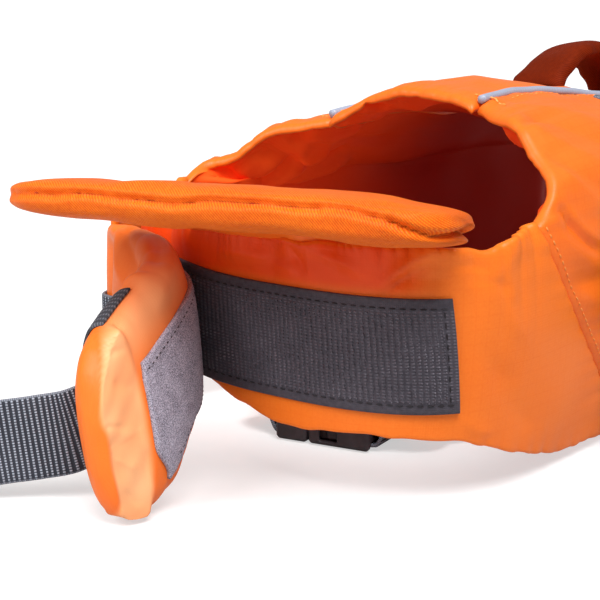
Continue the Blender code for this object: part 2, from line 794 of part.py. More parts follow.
def loop_patch():
    """Loop tape on the flap's inner face."""
    return walled_sheet("loop_patch", loop_face(TAPE_GAP + LOOP_THICK), loop_face(TAPE_GAP), LOOP_TAPE)


# ---------------------------------------------------------------- chin pad and its hinge

PAD_REAR = (12.0, -97.0, 99.8)
PAD_TURN = 20.0
PAD_TILT = 9.0
PAD_LENGTH = 155.0
PAD_WIDTH = 55.0
PAD_THICK = 14.0
PAD_CORNER = 20.0
PAD_DROOP = 2.5
PAD_RINGS = 19
SEAM_GROOVE = 1.2


def pad_axes():
    """Directions along the chin pad, forwards across it, and up through it."""
    turn = math.radians(PAD_TURN)
    tilt = math.radians(PAD_TILT)
    along = np.array((math.cos(turn), math.sin(turn), 0.0))
    forward = np.array((math.sin(turn) * math.cos(tilt), -math.cos(turn) * math.cos(tilt), math.sin(tilt)))
    return along, forward, np.cross(along, forward) * -1


def pad_point(run, forward_place, up_place):
    """Point of the chin pad from its middle line, with its drooping left end."""
    along, forward, up = pad_axes()
    middle = np.array(PAD_REAR) + forward * PAD_WIDTH / 2
    sag = PAD_DROOP * smooth((np.asarray(run) - 20.0) / 55.0)
    return (middle + np.multiply.outer(run, along) + np.multiply.outer(forward_place, forward)
            + np.multiply.outer(up_place - sag, up))


def pad_rings():
    """Rings across the chin pad, with the seam as a groove round its rim."""
    angle = np.linspace(-math.pi / 2, math.pi / 2, PAD_RINGS)
    half = PAD_LENGTH / 2
    runs = half * np.sin(angle)
    runs[0], runs[-1] = -half + 0.4, half - 0.4
    into_corner = np.clip((np.abs(runs) - (half - PAD_CORNER)) / PAD_CORNER, 0.0, 1.0)
    round_off = np.sqrt(1 - into_corner ** 2)
    half_width = PAD_WIDTH / 2 - PAD_CORNER * (1 - round_off)
    half_thick = PAD_THICK / 2 * (0.32 + 0.68 * rise(half - np.abs(runs), 22.0))
    section = ((1.0, 0.0), (1.0, 0.22), (0.97, 0.55), (0.86, 0.86), (0.55, 1.0), (0.0, 1.04),
               (-0.55, 1.0), (-0.86, 0.86), (-0.97, 0.55), (-1.0, 0.22), (-1.0, 0.0),
               (-1.0, -0.22), (-0.97, -0.55), (-0.86, -0.86), (-0.55, -1.0), (0.0, -1.04),
               (0.55, -1.0), (0.86, -0.86), (0.97, -0.55), (1.0, -0.22))
    rings = []
    for run, width, thick in zip(runs, half_width, half_thick):
        ring = []
        for across, height in section:
            groove = SEAM_GROOVE if height == 0.0 else 0.0
            ring.append(pad_point(run, across * (width - groove), height * thick))
        rings.append(ring)
    return np.array(rings)


def chin_pad():
    """Flat padded pillow that holds the chin up."""
    return ringed_body("chin_pad", pad_rings(), TWILL)


HINGE_LENGTH = 78.0
HINGE_THICK = 1.2
HINGE_GAP = 1.0
HINGE_COLUMNS = 9


def chin_pad_hinge():
    """Short strip of cloth from the neck edge of the left band up to the pad's rear seam."""
    run = np.linspace(-HINGE_LENGTH / 2, HINGE_LENGTH / 2, HINGE_COLUMNS)
    pad_edge = pad_point(run, np.full(HINGE_COLUMNS, -PAD_WIDTH / 2 + 6.0),
                         np.full(HINGE_COLUMNS, -0.93 * PAD_THICK / 2 - SEAM_GAP))
    arc = pad_edge[:, 0]
    neck = chest_point(arc, LEFT_BAND.at("top", arc))
    neck[:, 2] += HINGE_GAP
    neck[:, 1] += BAND_CLOTH / 2 - GATHER_DEPTH * np.cos(2 * math.pi * arc / BAND_GATHER_PITCH)
    front = np.stack((neck, 0.5 * (neck + pad_edge), pad_edge))
    back = front + np.array((0.0, HINGE_THICK, 0.0))
    return walled_sheet("chin_pad_hinge", front, back, PACK_CLOTH)


# ---------------------------------------------------------------- handle

HANDLE_FRONT = 91.0
HANDLE_REAR = 163.0
HANDLE_FOOT = 7.0
HANDLE_RISE = 18.6
HANDLE_FULLNESS = 0.9
HANDLE_LEAN = 0.152
HANDLE_TWIST = 0.4
COVER_SETBACK = 7.0
HANDLE_THICK = 1.8
COVER_WIDTH = 19.0
COVER_THICK = 3.4


def handle_line(lift, first, last, count):
    """Points along the handle and its width directions: flat foot, leaning arch and flat foot."""
    station = np.linspace(first, last, count)
    middle = (HANDLE_FRONT + HANDLE_REAR) / 2
    reach = (HANDLE_REAR - HANDLE_FRONT) / 2
    inside = np.clip(1 - ((station - middle) / reach) ** 2, 0.0, 1.0)
    base = arch_point(0 * station, station)[:, 2]
    z = base + lift + HANDLE_RISE * inside ** HANDLE_FULLNESS
    lean = np.stack((1 + 0 * station, -HANDLE_TWIST * inside, HANDLE_LEAN + 0 * station), axis=-1)
    return np.stack((0 * station, station, z), axis=-1), unit(lean)


def handle_webbing():
    """Grey webbing of the handle."""
    places, widths = handle_line(SEAM_GAP + HANDLE_THICK / 2, HANDLE_FRONT - HANDLE_FOOT,
                                 HANDLE_REAR + HANDLE_FOOT, 41)
    rings = ribbon_rings(places, widths, HANDLE_WEBBING, HANDLE_THICK)
    return ringed_body("handle_webbing", rings, WEBBING)


def handle_cover():
    """Padded cover on the handle's upper face."""
    lift = SEAM_GAP + HANDLE_THICK / 2
    places, widths = handle_line(lift, HANDLE_FRONT + COVER_SETBACK, HANDLE_REAR - COVER_SETBACK, 21)
    tangents = unit(np.gradient(places, axis=0))
    across = unit(widths - tangents * np.sum(widths * tangents, axis=-1, keepdims=True))
    normals = np.cross(across, tangents)
    normals = normals * np.sign(normals[:, 2:3])
    places = places + normals * (HANDLE_THICK / 2 + SEAM_GAP + 0.2 + COVER_THICK / 2)
    section = ((-0.5, -0.5), (0.5, -0.5), (0.5, 0.05), (0.36, 0.5), (-0.36, 0.5), (-0.5, 0.05))
    rings = np.stack([places + across * (a * COVER_WIDTH) + normals * (b * COVER_THICK)
                      for a, b in section], axis=1)
    return ringed_body("handle_cover", rings, HANDLE_CLOTH)


# ---------------------------------------------------------------- side-release buckles


def block(name, low, high, edge):
    """Box between two corners in a buckle's own frame, in millimetres, with its edges rounded."""
    low = np.array(low, dtype=float)
    high = np.array(high, dtype=float)
    bm = bmesh.new()
    bmesh.ops.create_cube(bm, size=1.0)
    for vertex in bm.verts:
        corner = (np.array(vertex.co) + 0.5) * (high - low) + low
        vertex.co = corner * MM
    if edge > 0:
        bmesh.ops.bevel(bm, geom=bm.edges[:], offset=edge * MM, segments=1, affect="EDGES")
    mesh = bpy.data.meshes.new(name)
    bm.to_mesh(mesh)
    bm.free()
    return bpy.data.objects.new(name, mesh)


def join(base, others, operation):
    """Apply Boolean tools to a base and remove them."""
    PIECES.objects.link(base)
    for tool in others:
        TOOLS.objects.link(tool)
        tool.hide_render = True
        tool.display_type = "WIRE"
        modifier = base.modifiers.new(operation.lower(), "BOOLEAN")
        modifier.operation = operation
        modifier.solver = "EXACT"
        modifier.object = tool
    evaluated = base.evaluated_get(bpy.context.evaluated_depsgraph_get())
    mesh = bpy.data.meshes.new_from_object(evaluated)
    for spare in (base, *others):
        bpy.data.objects.remove(spare)
    return bpy.data.objects.new("joined", mesh)


def place_buckle(name, solid, origin, along, across):
    """Put a buckle half in the maker's frame: its length along one direction, its width across."""
    along = unit(np.array(along, dtype=float))
    across = np.array(across, dtype=float)
    across = unit(across - along * np.dot(across, along))
    through = np.cross(along, across)
    mesh = solid.data
    places = np.array([vertex.co for vertex in mesh.vertices]) / MM
    moved = (np.array(origin) + places[:, 0:1] * along + places[:, 1:2] * across
             + places[:, 2:3] * through)
    for vertex, place in zip(mesh.vertices, to_metres(moved)):
        vertex.co = place
    bpy.data.objects.remove(solid)
    return add_object(name, mesh, PLASTIC, crease=25.0)


class Buckle:
    """Sizes of a side-release buckle for one webbing width."""

    def __init__(self, webbing, thick, socket_length, prong_base, prong_length):
        self.webbing = webbing
        self.width = webbing + 7.0
        self.thick = thick
        self.socket_length = socket_length
        self.prong_base = prong_base
        self.prong_length = prong_length
        self.slot = 4.4
        self.wall = 1.7

    def tail_tools(self):
        """Cutters for the webbing slot beside the tail bar, and to thin the bar above and below."""
        side = self.webbing / 2 + 0.7
        slot = block("tail_slot", (BAR_LENGTH, -side, -self.thick),
                     (BAR_LENGTH + self.slot, side, self.thick), 0.0)
        over = block("bar_relief", (-2.0, -side, BAR_HALF_THICK), (BAR_LENGTH + 1.0, side, self.thick), 0.0)
        under = block("bar_relief", (-2.0, -side, -self.thick), (BAR_LENGTH + 1.0, side, -BAR_HALF_THICK), 0.0)
        return [slot, over, under]

    def socket(self):
        """Socket half: tail bar at 0, mouth at its length."""
        half = self.thick / 2
        side = self.width / 2
        body = block("socket_body", (0, -side, -half), (self.socket_length, side, half), 1.2)
        hollow_from = BAR_LENGTH + self.slot + 2.0
        hollow = block("socket_hollow", (hollow_from, -side + self.wall, -half + self.wall),
                       (self.socket_length + 5, side - self.wall, half - self.wall), 0.0)
        windows = [block("socket_window", (hollow_from + 4.0, low, -half + self.wall),
                         (self.socket_length - 5.0, low + 2 * self.wall, half - self.wall), 0.0)
                   for low in (-side - self.wall, side - self.wall)]
        return join(body, [*self.tail_tools(), hollow, *windows], "DIFFERENCE")

    def prong(self):
        """Prong half: tail bar at 0, two side arms and a middle guide beyond its base."""
        half = self.thick / 2
        side = self.width / 2
        base = block("prong_base", (0, -side, -half), (self.prong_base, side, half), 1.2)
        cut = join(base, self.tail_tools(), "DIFFERENCE")
        reach = self.prong_base + self.prong_length
        deep = half - self.wall - SEAM_GAP
        edge = side - self.wall - SEAM_GAP
        arms = []
        for turn in (-1, 1):
            inner, outer = sorted((turn * (edge - 3.4), turn * (edge - 0.6)))
            arms.append(block("prong_arm", (self.prong_base - 2, inner, -deep), (reach, outer, deep), 0.0))
            inner, outer = sorted((turn * (edge - 3.4), turn * (edge + 0.1)))
            arms.append(block("prong_hook", (reach - 7.0, inner, -deep + 0.2), (reach - 1.0, outer, deep - 0.2),
                              0.0))
        arms.append(block("prong_guide", (self.prong_base - 2, -2.0, -deep + 0.5),
                          (reach - 4.0, 2.0, deep - 0.5), 0.0))
        return join(cut, arms, "UNION")


BELLY_BUCKLE = Buckle(BELLY_WEBBING, 9.4, 26.0, 13.6, 15.0)
NECK_BUCKLE = Buckle(NECK_WEBBING, 11.0, 36.0, 17.0, 22.0)


# ---------------------------------------------------------------- belly strap and buckle

BELLY_BUCKLE_MIDDLE = (-5.0, -35.0)
BELLY_BUCKLE_TURN = 11.5
BELLY_BUCKLE_HEIGHT = BELLY_BUCKLE.thick / 2 + 0.3


def belly_buckle_frame():
    """Ends and directions of the fastened belly buckle, which lies flat under the chest."""
    turn = math.radians(BELLY_BUCKLE_TURN)
    along = np.array((math.cos(turn), math.sin(turn), 0.0))
    across = np.array((-math.sin(turn), math.cos(turn), 0.0))
    middle = np.array((*BELLY_BUCKLE_MIDDLE, BELLY_BUCKLE_HEIGHT))
    length = BELLY_BUCKLE.socket_length + BELLY_BUCKLE.prong_base + SEAM_GAP
    return middle - along * length / 2, middle + along * length / 2, along, across


BELLY_LEFT_ROUTE = (
    # x, y, z, width direction
    (27.5, -25.5, 13.5, -0.15, 0.80, 0.45),
    (34.0, -19.0, 17.0, 0.0, 0.15, 1.0),
    (40.0, -6.0, 15.5, 0.0, 0.0, 1.0),
    (44.0, 12.0, 13.4, 0.0, 0.0, 1.0),
    (47.0, 28.0, 12.0, 0.0, 0.0, 1.0),
    (49.5, 45.0, 12.6, 0.0, 0.10, 1.0),
    (51.5, 57.0, 13.0, 0.0, 0.35, 0.95),
    (55.5, 66.0, 10.0, -0.1, 0.75, 0.6),
    (61.5, 71.0, 5.0, 0.0, 1.0, 0.22),
    (67.0, 72.0, 1.5, 0.0, 1.0, 0.0),
    (72.0, 72.0, 1.05, 0.0, 1.0, 0.0),
    (77.0, 72.0, 1.05, 0.0, 1.0, 0.0),
    (79.1, 72.0, 1.25, 0.0, 1.0, 0.0),
    (80.4, 72.0, 2.5, 0.0, 1.0, 0.0),
    (80.9, 72.0, 4.4, 0.0, 1.0, 0.0),
)
BELLY_RIGHT_ROUTE = (
    (-37.5, -38.5, 14.0, -0.10, 0.75, 0.55),
    (-43.5, -30.5, 17.0, 0.0, 0.15, 1.0),
    (-46.0, -14.0, 14.8, 0.0, 0.0, 1.0),
    (-46.5, 6.0, 12.8, 0.0, 0.0, 1.0),
    (-47.5, 28.0, 11.8, 0.0, 0.0, 1.0),
    (-49.5, 45.0, 12.6, 0.0, 0.10, 1.0),
    (-51.5, 57.0, 13.0, 0.0, 0.35, 0.95),
    (-55.5, 66.0, 10.0, 0.1, 0.75, 0.6),
    (-61.5, 71.0, 5.0, 0.0, 1.0, 0.22),
    (-67.0, 72.0, 1.5, 0.0, 1.0, 0.0),
    (-72.0, 72.0, 1.05, 0.0, 1.0, 0.0),
    (-77.0, 72.0, 1.05, 0.0, 1.0, 0.0),
    (-79.1, 72.0, 1.25, 0.0, 1.0, 0.0),
    (-80.4, 72.0, 2.5, 0.0, 1.0, 0.0),
    (-80.9, 72.0, 4.4, 0.0, 1.0, 0.0),
)
STRAP_GIRTHS = (190.0, 179.0, 168.0, 157.0, 146.0, 135.0, 124.0, 113.0, 104.0, 97.0, 91.0,
                85.0, 78.0, 70.0, 61.0, 52.0, 45.0)
UPWARD = np.array((0.0, 0.0, 1.0))
BELLY_CLIMB = 42.0


def belly_strap(name, side, tail, away, across, route):
    """Half of the belly strap: round its buckle, under the side panel and up to the piping."""
    rows = bar_wrap(tail, away, UPWARD, across, BELLY_CLIMB)
    rows += [np.array(row) for row in route]
    lift = WEBBING_THICK / 2 + STRAP_CLEARANCE
    for place, normal, rearward in side_outer_at(side, STRAP_GIRTHS, BELLY_STATION):
        rows.append(np.concatenate((place + normal * lift, rearward)))
    return strap(name, rows, BELLY_WEBBING)


def belly_set():
    """Both halves of the belly strap and the fastened buckle between them."""
    right_end, left_end, along, across = belly_buckle_frame()
    place_buckle("belly_buckle_socket", BELLY_BUCKLE.socket(), left_end, -along, across)
    place_buckle("belly_buckle_prong", BELLY_BUCKLE.prong(), right_end, along, across)
    belly_strap("belly_strap_left", 1, left_end, along, across, BELLY_LEFT_ROUTE)
    belly_strap("belly_strap_right", -1, right_end, -along, across, BELLY_RIGHT_ROUTE)


# ---------------------------------------------------------------- neck strap and its buckle

NECK_FREE_ROUTE = (
    # x, y, z, width direction
    (-33.0, -122.8, 41.0, 0.0, 0.0, 1.0),
    (-28.0, -130.0, 34.0, 0.0, 0.0, 1.0),
    (-26.0, -139.5, 28.5, 0.0, 0.0, 1.0),
    (-29.0, -149.5, 24.8, 0.0, 0.0, 1.0),
    (-37.0, -158.0, 22.8, 0.0, 0.0, 1.0),
    (-47.0, -166.5, 21.0, 0.0, 0.0, 1.0),
    (-59.0, -175.0, 18.5, 0.0, 0.15, 1.0),
    (-73.0, -181.5, 15.0, 0.0, 0.5, 0.9),
    (-87.0, -184.5, 11.0, 0.0, 0.8, 0.55),
    (-99.0, -184.9, 8.4, 0.0, 1.0, 0.12),
)
NECK_PRONG_TAIL = (-121.0, -183.6, 6.0)
NECK_PRONG_WAY = (-1.0, 0.06, 0.0)
NECK_ARCS = (112.0, 104.0, 96.0, 88.0, 80.0, 73.0)
NECK_SEWN_HEIGHT = 46.5


def neck_strap():
    """Webbing from the right band over the flap's outer face, then loose to its buckle half."""
    lift = WEBBING_THICK / 2 + STRAP_CLEARANCE
    rows = []
    arc = np.array(NECK_ARCS)[None, :] + np.zeros((3, 1))
    height = NECK_SEWN_HEIGHT + np.array((-1.0, 0.0, 1.0))[:, None] + 0 * arc
    form, normals, offset = band_face(-1, arc, height, height + 100.0)
    sewn = form + normals * (offset + lift)[..., None]
    for place, upward in zip(sewn[1], unit(sewn[2] - sewn[0])):
        rows.append((*place, *upward))
    for station, drop in ((1.0, -10.0), (2.0, -10.0), (3.0, -10.6), (4.0, -11.6)):
        rows.append((*flap_face(station, drop, lift + 0.4, -1), 0.0, 0.0, 1.0))
    rows += list(NECK_FREE_ROUTE)
    way = unit(np.array(NECK_PRONG_WAY))
    rows += bar_wrap(NECK_PRONG_TAIL, -way, UPWARD, np.cross(way, UPWARD), 0.0)[::-1]
    return strap("neck_strap", rows, NECK_WEBBING)


NECK_TAB_STATION = 59.5
NECK_TAB_GIRTH = 135.0
NECK_SOCKET_TAIL = (98.6, 46.0, 62.0)
NECK_SOCKET_WAY = (0.03, -1.0, 0.0)


def neck_tab():
    """Short webbing tab on the left side panel that holds the socket half."""
    lift = WEBBING_THICK / 2 + TAB_CLEARANCE
    rows = []
    for station in (NECK_TAB_STATION, NECK_TAB_STATION - 3.0):
        place, normal, _ = side_outer_at(1, (NECK_TAB_GIRTH,), station)[0]
        rows.append((*(place + normal * lift), 0.0, 0.0, 1.0))
    way = unit(np.array(NECK_SOCKET_WAY))
    outward = np.cross(way, UPWARD) * -1
    rows += bar_wrap(NECK_SOCKET_TAIL, -way, outward, UPWARD, 0.0)[1:-1]
    return strap("neck_buckle_tab", rows, NECK_WEBBING)


def neck_buckle_halves():
    """The open neck buckle: prongs on the strap's free end, socket on the left side."""
    place_buckle("neck_buckle_prong", NECK_BUCKLE.prong(), NECK_PRONG_TAIL, NECK_PRONG_WAY,
                 (0.0, 1.0, 0.0))
    place_buckle("neck_buckle_socket", NECK_BUCKLE.socket(), NECK_SOCKET_TAIL, NECK_SOCKET_WAY,
                 (0.0, 0.0, 1.0))


# ---------------------------------------------------------------- the whole jacket


def clear_scene():
    """Remove the objects of the open file."""
    for spare in list(bpy.data.objects):
        bpy.data.objects.remove(spare)


def new_collection(name):
    """Add a collection to the scene."""
    collection = bpy.data.collections.new(name)
    bpy.context.scene.collection.children.link(collection)
    return collection


clear_scene()
PIECES = new_collection(PART_NAME)
TOOLS = new_collection("cutters")

back_panel()
side_panel("side_panel_left", 1)
side_panel("side_panel_right", -1)
chest_band("chest_band_left", 1, LEFT_BAND, LEFT_BAND_END, 36)
chest_band("chest_band_right", -1, RIGHT_BAND, RIGHT_BAND_END, 22)
hook_strip()
chest_flap()
loop_patch()
chin_pad()
chin_pad_hinge()
piping("piping_left", 1)
piping("piping_right", -1)
handle_webbing()
handle_cover()
belly_set()
neck_strap()
neck_tab()
neck_buckle_halves()
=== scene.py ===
# %% [markdown]
# # A small dog's life jacket, filled out and empty
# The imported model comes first, as a fixed frame.  Every piece below is sewn over one of its nodes, in
# the same place and at the same size.  Lengths in the maker's frame are millimetres: the nape of the
# neck lies above its origin, the wearer looks along -Y and +X is the wearer's left.

# %% Load the frame
import math

import bmesh
import bpy
import numpy as np
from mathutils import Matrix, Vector


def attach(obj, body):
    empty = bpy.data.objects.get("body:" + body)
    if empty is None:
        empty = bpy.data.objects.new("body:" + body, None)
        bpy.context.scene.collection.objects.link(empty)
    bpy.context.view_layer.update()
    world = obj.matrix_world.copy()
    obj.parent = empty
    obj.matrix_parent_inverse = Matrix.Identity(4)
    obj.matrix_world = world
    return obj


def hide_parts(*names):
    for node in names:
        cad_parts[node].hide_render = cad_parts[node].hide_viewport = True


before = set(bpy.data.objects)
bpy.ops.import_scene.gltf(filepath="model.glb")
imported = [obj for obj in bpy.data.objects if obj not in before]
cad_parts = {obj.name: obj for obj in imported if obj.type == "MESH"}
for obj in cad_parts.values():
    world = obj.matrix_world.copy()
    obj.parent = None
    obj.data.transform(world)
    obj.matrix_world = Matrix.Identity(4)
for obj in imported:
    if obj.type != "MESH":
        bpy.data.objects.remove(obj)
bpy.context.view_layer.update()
BODY_NAME = "root"

# %% [markdown]
# ## Camera, light and floor
# The jacket stands on a pale table in a white room.  A long lens from the wearer's front left keeps the
# curves calm.  A wide, high window gives most of the light, a softbox fills the front, and a pale sky
# leaves no hard shadow.

# %% Camera
MM = 0.001
CAMERA_PLACE = (0.41337, -0.54204, 0.193)
CAMERA_AZIMUTH = math.radians(40.0)
CAMERA_ELEVATION = math.radians(12.5)
CAMERA_LENS = 100.8
SENSOR_WIDTH = 36.0


def add_camera():
    """Put the camera at the viewer's place."""
    data = bpy.data.cameras.new("viewer")
    data.lens = CAMERA_LENS
    data.sensor_width = SENSOR_WIDTH
    data.clip_start = 0.01
    camera = bpy.data.objects.new("viewer", data)
    back = Vector((math.sin(CAMERA_AZIMUTH) * math.cos(CAMERA_ELEVATION),
                   -math.cos(CAMERA_AZIMUTH) * math.cos(CAMERA_ELEVATION),
                   math.sin(CAMERA_ELEVATION)))
    camera.location = CAMERA_PLACE
    camera.rotation_euler = (-back).to_track_quat("-Z", "Y").to_euler()
    bpy.context.scene.collection.objects.link(camera)
    bpy.context.scene.camera = camera
    return camera


VIEWER = add_camera()
print("camera at", tuple(round(value, 3) for value in VIEWER.location))

# %% Soft light
SOFTBOX_PLACE = (-0.25, -1.10, 0.80)
SOFTBOX_AIM = (0.05, -0.05, 0.06)
SOFTBOX_SIZE = 0.7
SOFTBOX_POWER = 10.0
SKY_STRENGTH = 0.33
WINDOW_POWER = 3.3
WINDOW_SPREAD = 34.0
WINDOW_HEIGHT = 60.0
WINDOW_BEARING = 56.0


def add_lamp(name, kind, power):
    """Hang a lamp at the origin."""
    data = bpy.data.lights.new(name, kind)
    data.energy = power
    lamp = bpy.data.objects.new(name, data)
    bpy.context.scene.collection.objects.link(lamp)
    return lamp


def add_lights():
    """Put the softbox and the window in place, and brighten the sky."""
    softbox = add_lamp("front_softbox", "AREA", SOFTBOX_POWER)
    softbox.data.shape = "DISK"
    softbox.data.size = SOFTBOX_SIZE
    softbox.location = SOFTBOX_PLACE
    aim = Vector(SOFTBOX_AIM) - Vector(SOFTBOX_PLACE)
    softbox.rotation_euler = aim.to_track_quat("-Z", "Y").to_euler()
    window = add_lamp("high_window", "SUN", WINDOW_POWER)
    window.data.angle = math.radians(WINDOW_SPREAD)
    window.rotation_euler = (math.radians(90.0 - WINDOW_HEIGHT), 0.0, math.radians(WINDOW_BEARING))
    world = bpy.data.worlds.new("white_room")
    world.use_nodes = True
    sky = world.node_tree.nodes["Background"]
    sky.inputs["Color"].default_value = (1.0, 1.0, 1.0, 1.0)
    sky.inputs["Strength"].default_value = SKY_STRENGTH
    bpy.context.scene.world = world


add_lights()
bpy.context.scene.view_settings.view_transform = "Standard"
print("lights:", len(bpy.data.lights))

# %% [markdown]
# ## Shader groups
# Every cloth here is one colour woven in its own way, so each weave is a node group that reads
# millimetres along and across the cloth and gives back a height for the bump and a tone for the colour.
# The shader itself stays in each material.

# %% Small helpers for node trees
WEBBING_RIB_PITCH = 1.9
FULL_TURN = 2 * math.pi


def wire(tree, value, socket):
    """Link a socket, or set its value."""
    if isinstance(value, bpy.types.NodeSocket):
        tree.links.new(value, socket)
    else:
        socket.default_value = value


def maths(tree, operation, first, second=0.0, third=0.0):
    """Add a math node and give back its output."""
    node = tree.nodes.new("ShaderNodeMath")
    node.operation = operation
    for socket, value in zip(node.inputs, (first, second, third)):
        wire(tree, value, socket)
    return node.outputs[0]


def times(tree, first, second):
    """One value times another."""
    return maths(tree, "MULTIPLY", first, second)


def plus(tree, first, second):
    """One value plus another."""
    return maths(tree, "ADD", first, second)


def line(tree, value, slope, start):
    """A value on a straight line: times a slope, plus a start."""
    return maths(tree, "MULTIPLY_ADD", value, slope, start)


def scaled(tree, vector, factor):
    """A vector times a factor."""
    node = tree.nodes.new("ShaderNodeVectorMath")
    node.operation = "SCALE"
    wire(tree, vector, node.inputs[0])
    wire(tree, factor, node.inputs["Scale"])
    return node.outputs[0]


def mixed(tree, share, first, second):
    """A colour between two others, each of them a socket or three values."""
    node = tree.nodes.new("ShaderNodeMix")
    node.data_type = "RGBA"
    wire(tree, share, node.inputs[0])
    for socket, colour in ((node.inputs[6], first), (node.inputs[7], second)):
        wire(tree, (*colour, 1.0) if isinstance(colour, tuple) else colour, socket)
    return node.outputs[2]


def ramp(tree, value, low, high, start=0.0, end=1.0):
    """Map a value smoothly from low..high to start..end."""
    node = tree.nodes.new("ShaderNodeMapRange")
    node.interpolation_type = "SMOOTHSTEP"
    for socket, part in zip(node.inputs, (value, low, high, start, end)):
        wire(tree, part, socket)
    return node.outputs["Result"]


def noise(tree, vector, scale, detail=2.0):
    """Add a noise texture and give back its value."""
    node = tree.nodes.new("ShaderNodeTexNoise")
    wire(tree, vector, node.inputs["Vector"])
    wire(tree, scale, node.inputs["Scale"])
    node.inputs["Detail"].default_value = detail
    return node.outputs[0]


def add_sockets(tree, given, made):
    """Named sockets of a tree, each by its label, kind and usual value; gives back its two end nodes."""
    for direction, rows in (("INPUT", given), ("OUTPUT", made)):
        for label, kind, usual in rows:
            socket = tree.interface.new_socket(name=label, in_out=direction, socket_type="NodeSocket" + kind)
            if usual is not None:
                socket.default_value = usual
    return tree.nodes.new("NodeGroupInput"), tree.nodes.new("NodeGroupOutput")


def new_group(name, inputs, outputs=("Height", "Tone")):
    """A shader group with a vector input, float inputs with their usual values, and float outputs."""
    tree = bpy.data.node_groups.new(name, "ShaderNodeTree")
    given = [("Millimetres", "Vector", None)] + [(label, "Float", usual) for label, usual in inputs.items()]
    return (tree, *add_sockets(tree, given, [(label, "Float", None) for label in outputs]))


def use_group(tree, group, millimetres, settings=None):
    """Put a shader group into a material and give back its outputs."""
    node = tree.nodes.new("ShaderNodeGroup")
    node.node_tree = group
    wire(tree, millimetres, node.inputs["Millimetres"])
    for label, value in (settings or {}).items():
        node.inputs[label].default_value = value
    return node.outputs


def split(tree, vector):
    """The two directions of a cloth's plane."""
    node = tree.nodes.new("ShaderNodeSeparateXYZ")
    wire(tree, vector, node.inputs[0])
    return node.outputs[0], node.outputs[1]


def swell(tree, distance, pitch):
    """A soft wave from 0 to 1 with a pitch."""
    turns = times(tree, maths(tree, "DIVIDE", distance, pitch), FULL_TURN)
    return line(tree, maths(tree, "SINE", turns), 0.5, 0.5)


def to_edge(tree, half_width, across):
    """How far a place lies inside an edge that runs along at both sides."""
    return maths(tree, "SUBTRACT", half_width, maths(tree, "ABSOLUTE", across))


def specks(tree, place, size, detail):
    """Noise with spots of a size in millimetres."""
    return noise(tree, place, maths(tree, "DIVIDE", 1.0, size), detail)


# %% Plain weave with a ripstop grid


def ripstop_group():
    """Fine plain weave, crossed every few millimetres by a heavier thread."""
    tree, given, out = new_group("ripstop_weave", {"Thread Pitch": 0.8, "Grid Pitch": 5.0, "Grid": 0.5})
    place = given.outputs["Millimetres"]
    along, across = split(tree, place)
    pitch = given.outputs["Thread Pitch"]
    weave = times(tree, swell(tree, along, pitch), swell(tree, across, pitch))
    lines = []
    for distance in (along, across):
        gap = maths(tree, "PINGPONG", distance, times(tree, given.outputs["Grid Pitch"], 0.5))
        lines.append(ramp(tree, gap, 0.0, 0.55, 1.0, 0.0))
    grid = times(tree, maths(tree, "MAXIMUM", *lines), given.outputs["Grid"])
    wire(tree, plus(tree, times(tree, weave, 0.5), grid), out.inputs["Height"])
    slub = noise(tree, place, 0.9, 3.0)
    tone = maths(tree, "SUBTRACT", line(tree, slub, 0.55, 0.25), times(tree, grid, 0.5))
    wire(tree, tone, out.inputs["Tone"])
    return tree


RIPSTOP_WEAVE = ripstop_group()

# %% Twill


def twill_group():
    """Slanting ribs of a twill, broken by its threads."""
    tree, given, out = new_group("twill_weave", {"Rib Pitch": 0.74, "Thread Pitch": 0.5})
    place = given.outputs["Millimetres"]
    along, across = split(tree, place)
    slant = plus(tree, times(tree, along, 0.74), times(tree, across, 0.67))
    ribs = swell(tree, slant, given.outputs["Rib Pitch"])
    threads = swell(tree, along, given.outputs["Thread Pitch"])
    height = times(tree, ribs, line(tree, threads, 0.4, 0.6))
    wire(tree, height, out.inputs["Height"])
    slub = noise(tree, place, 0.7, 3.0)
    wire(tree, plus(tree, times(tree, height, 0.8), line(tree, slub, 0.7, -0.25)), out.inputs["Tone"])
    return tree


TWILL_WEAVE = twill_group()

# %% Ribbed webbing


def webbing_group():
    """Beaded ribs across a webbing, with a plain band along each edge."""
    tree, given, out = new_group("webbing_weave", {"Rib Pitch": WEBBING_RIB_PITCH, "Bead Pitch": 0.98,
                                                   "Half Width": 15.0})
    place = given.outputs["Millimetres"]
    along, across = split(tree, place)
    ribs = swell(tree, along, given.outputs["Rib Pitch"])
    beads = swell(tree, across, given.outputs["Bead Pitch"])
    selvedge = ramp(tree, to_edge(tree, given.outputs["Half Width"], across), 0.4, 0.9, 1.0, 0.0)
    bead_tone = line(tree, ramp(tree, beads, 0.25, 0.85), 0.85, 0.15)
    rib_tone = times(tree, ramp(tree, ribs, 0.40, 0.95), bead_tone)
    dusty = noise(tree, place, 1.6, 3.0)
    blended = tree.nodes.new("ShaderNodeMix")
    wire(tree, selvedge, blended.inputs[0])
    wire(tree, times(tree, rib_tone, line(tree, dusty, 1.5, 0.1)), blended.inputs[2])
    wire(tree, line(tree, swell(tree, along, 0.75), 0.35, 0.15), blended.inputs[3])
    wire(tree, blended.outputs[0], out.inputs["Tone"])
    wire(tree, times(tree, line(tree, beads, 0.6, 0.4), line(tree, ribs, 0.7, 0.3)), out.inputs["Height"])
    return tree


WEBBING_WEAVE = webbing_group()

# %% Hook tape ground, brushed loops and moulded grain


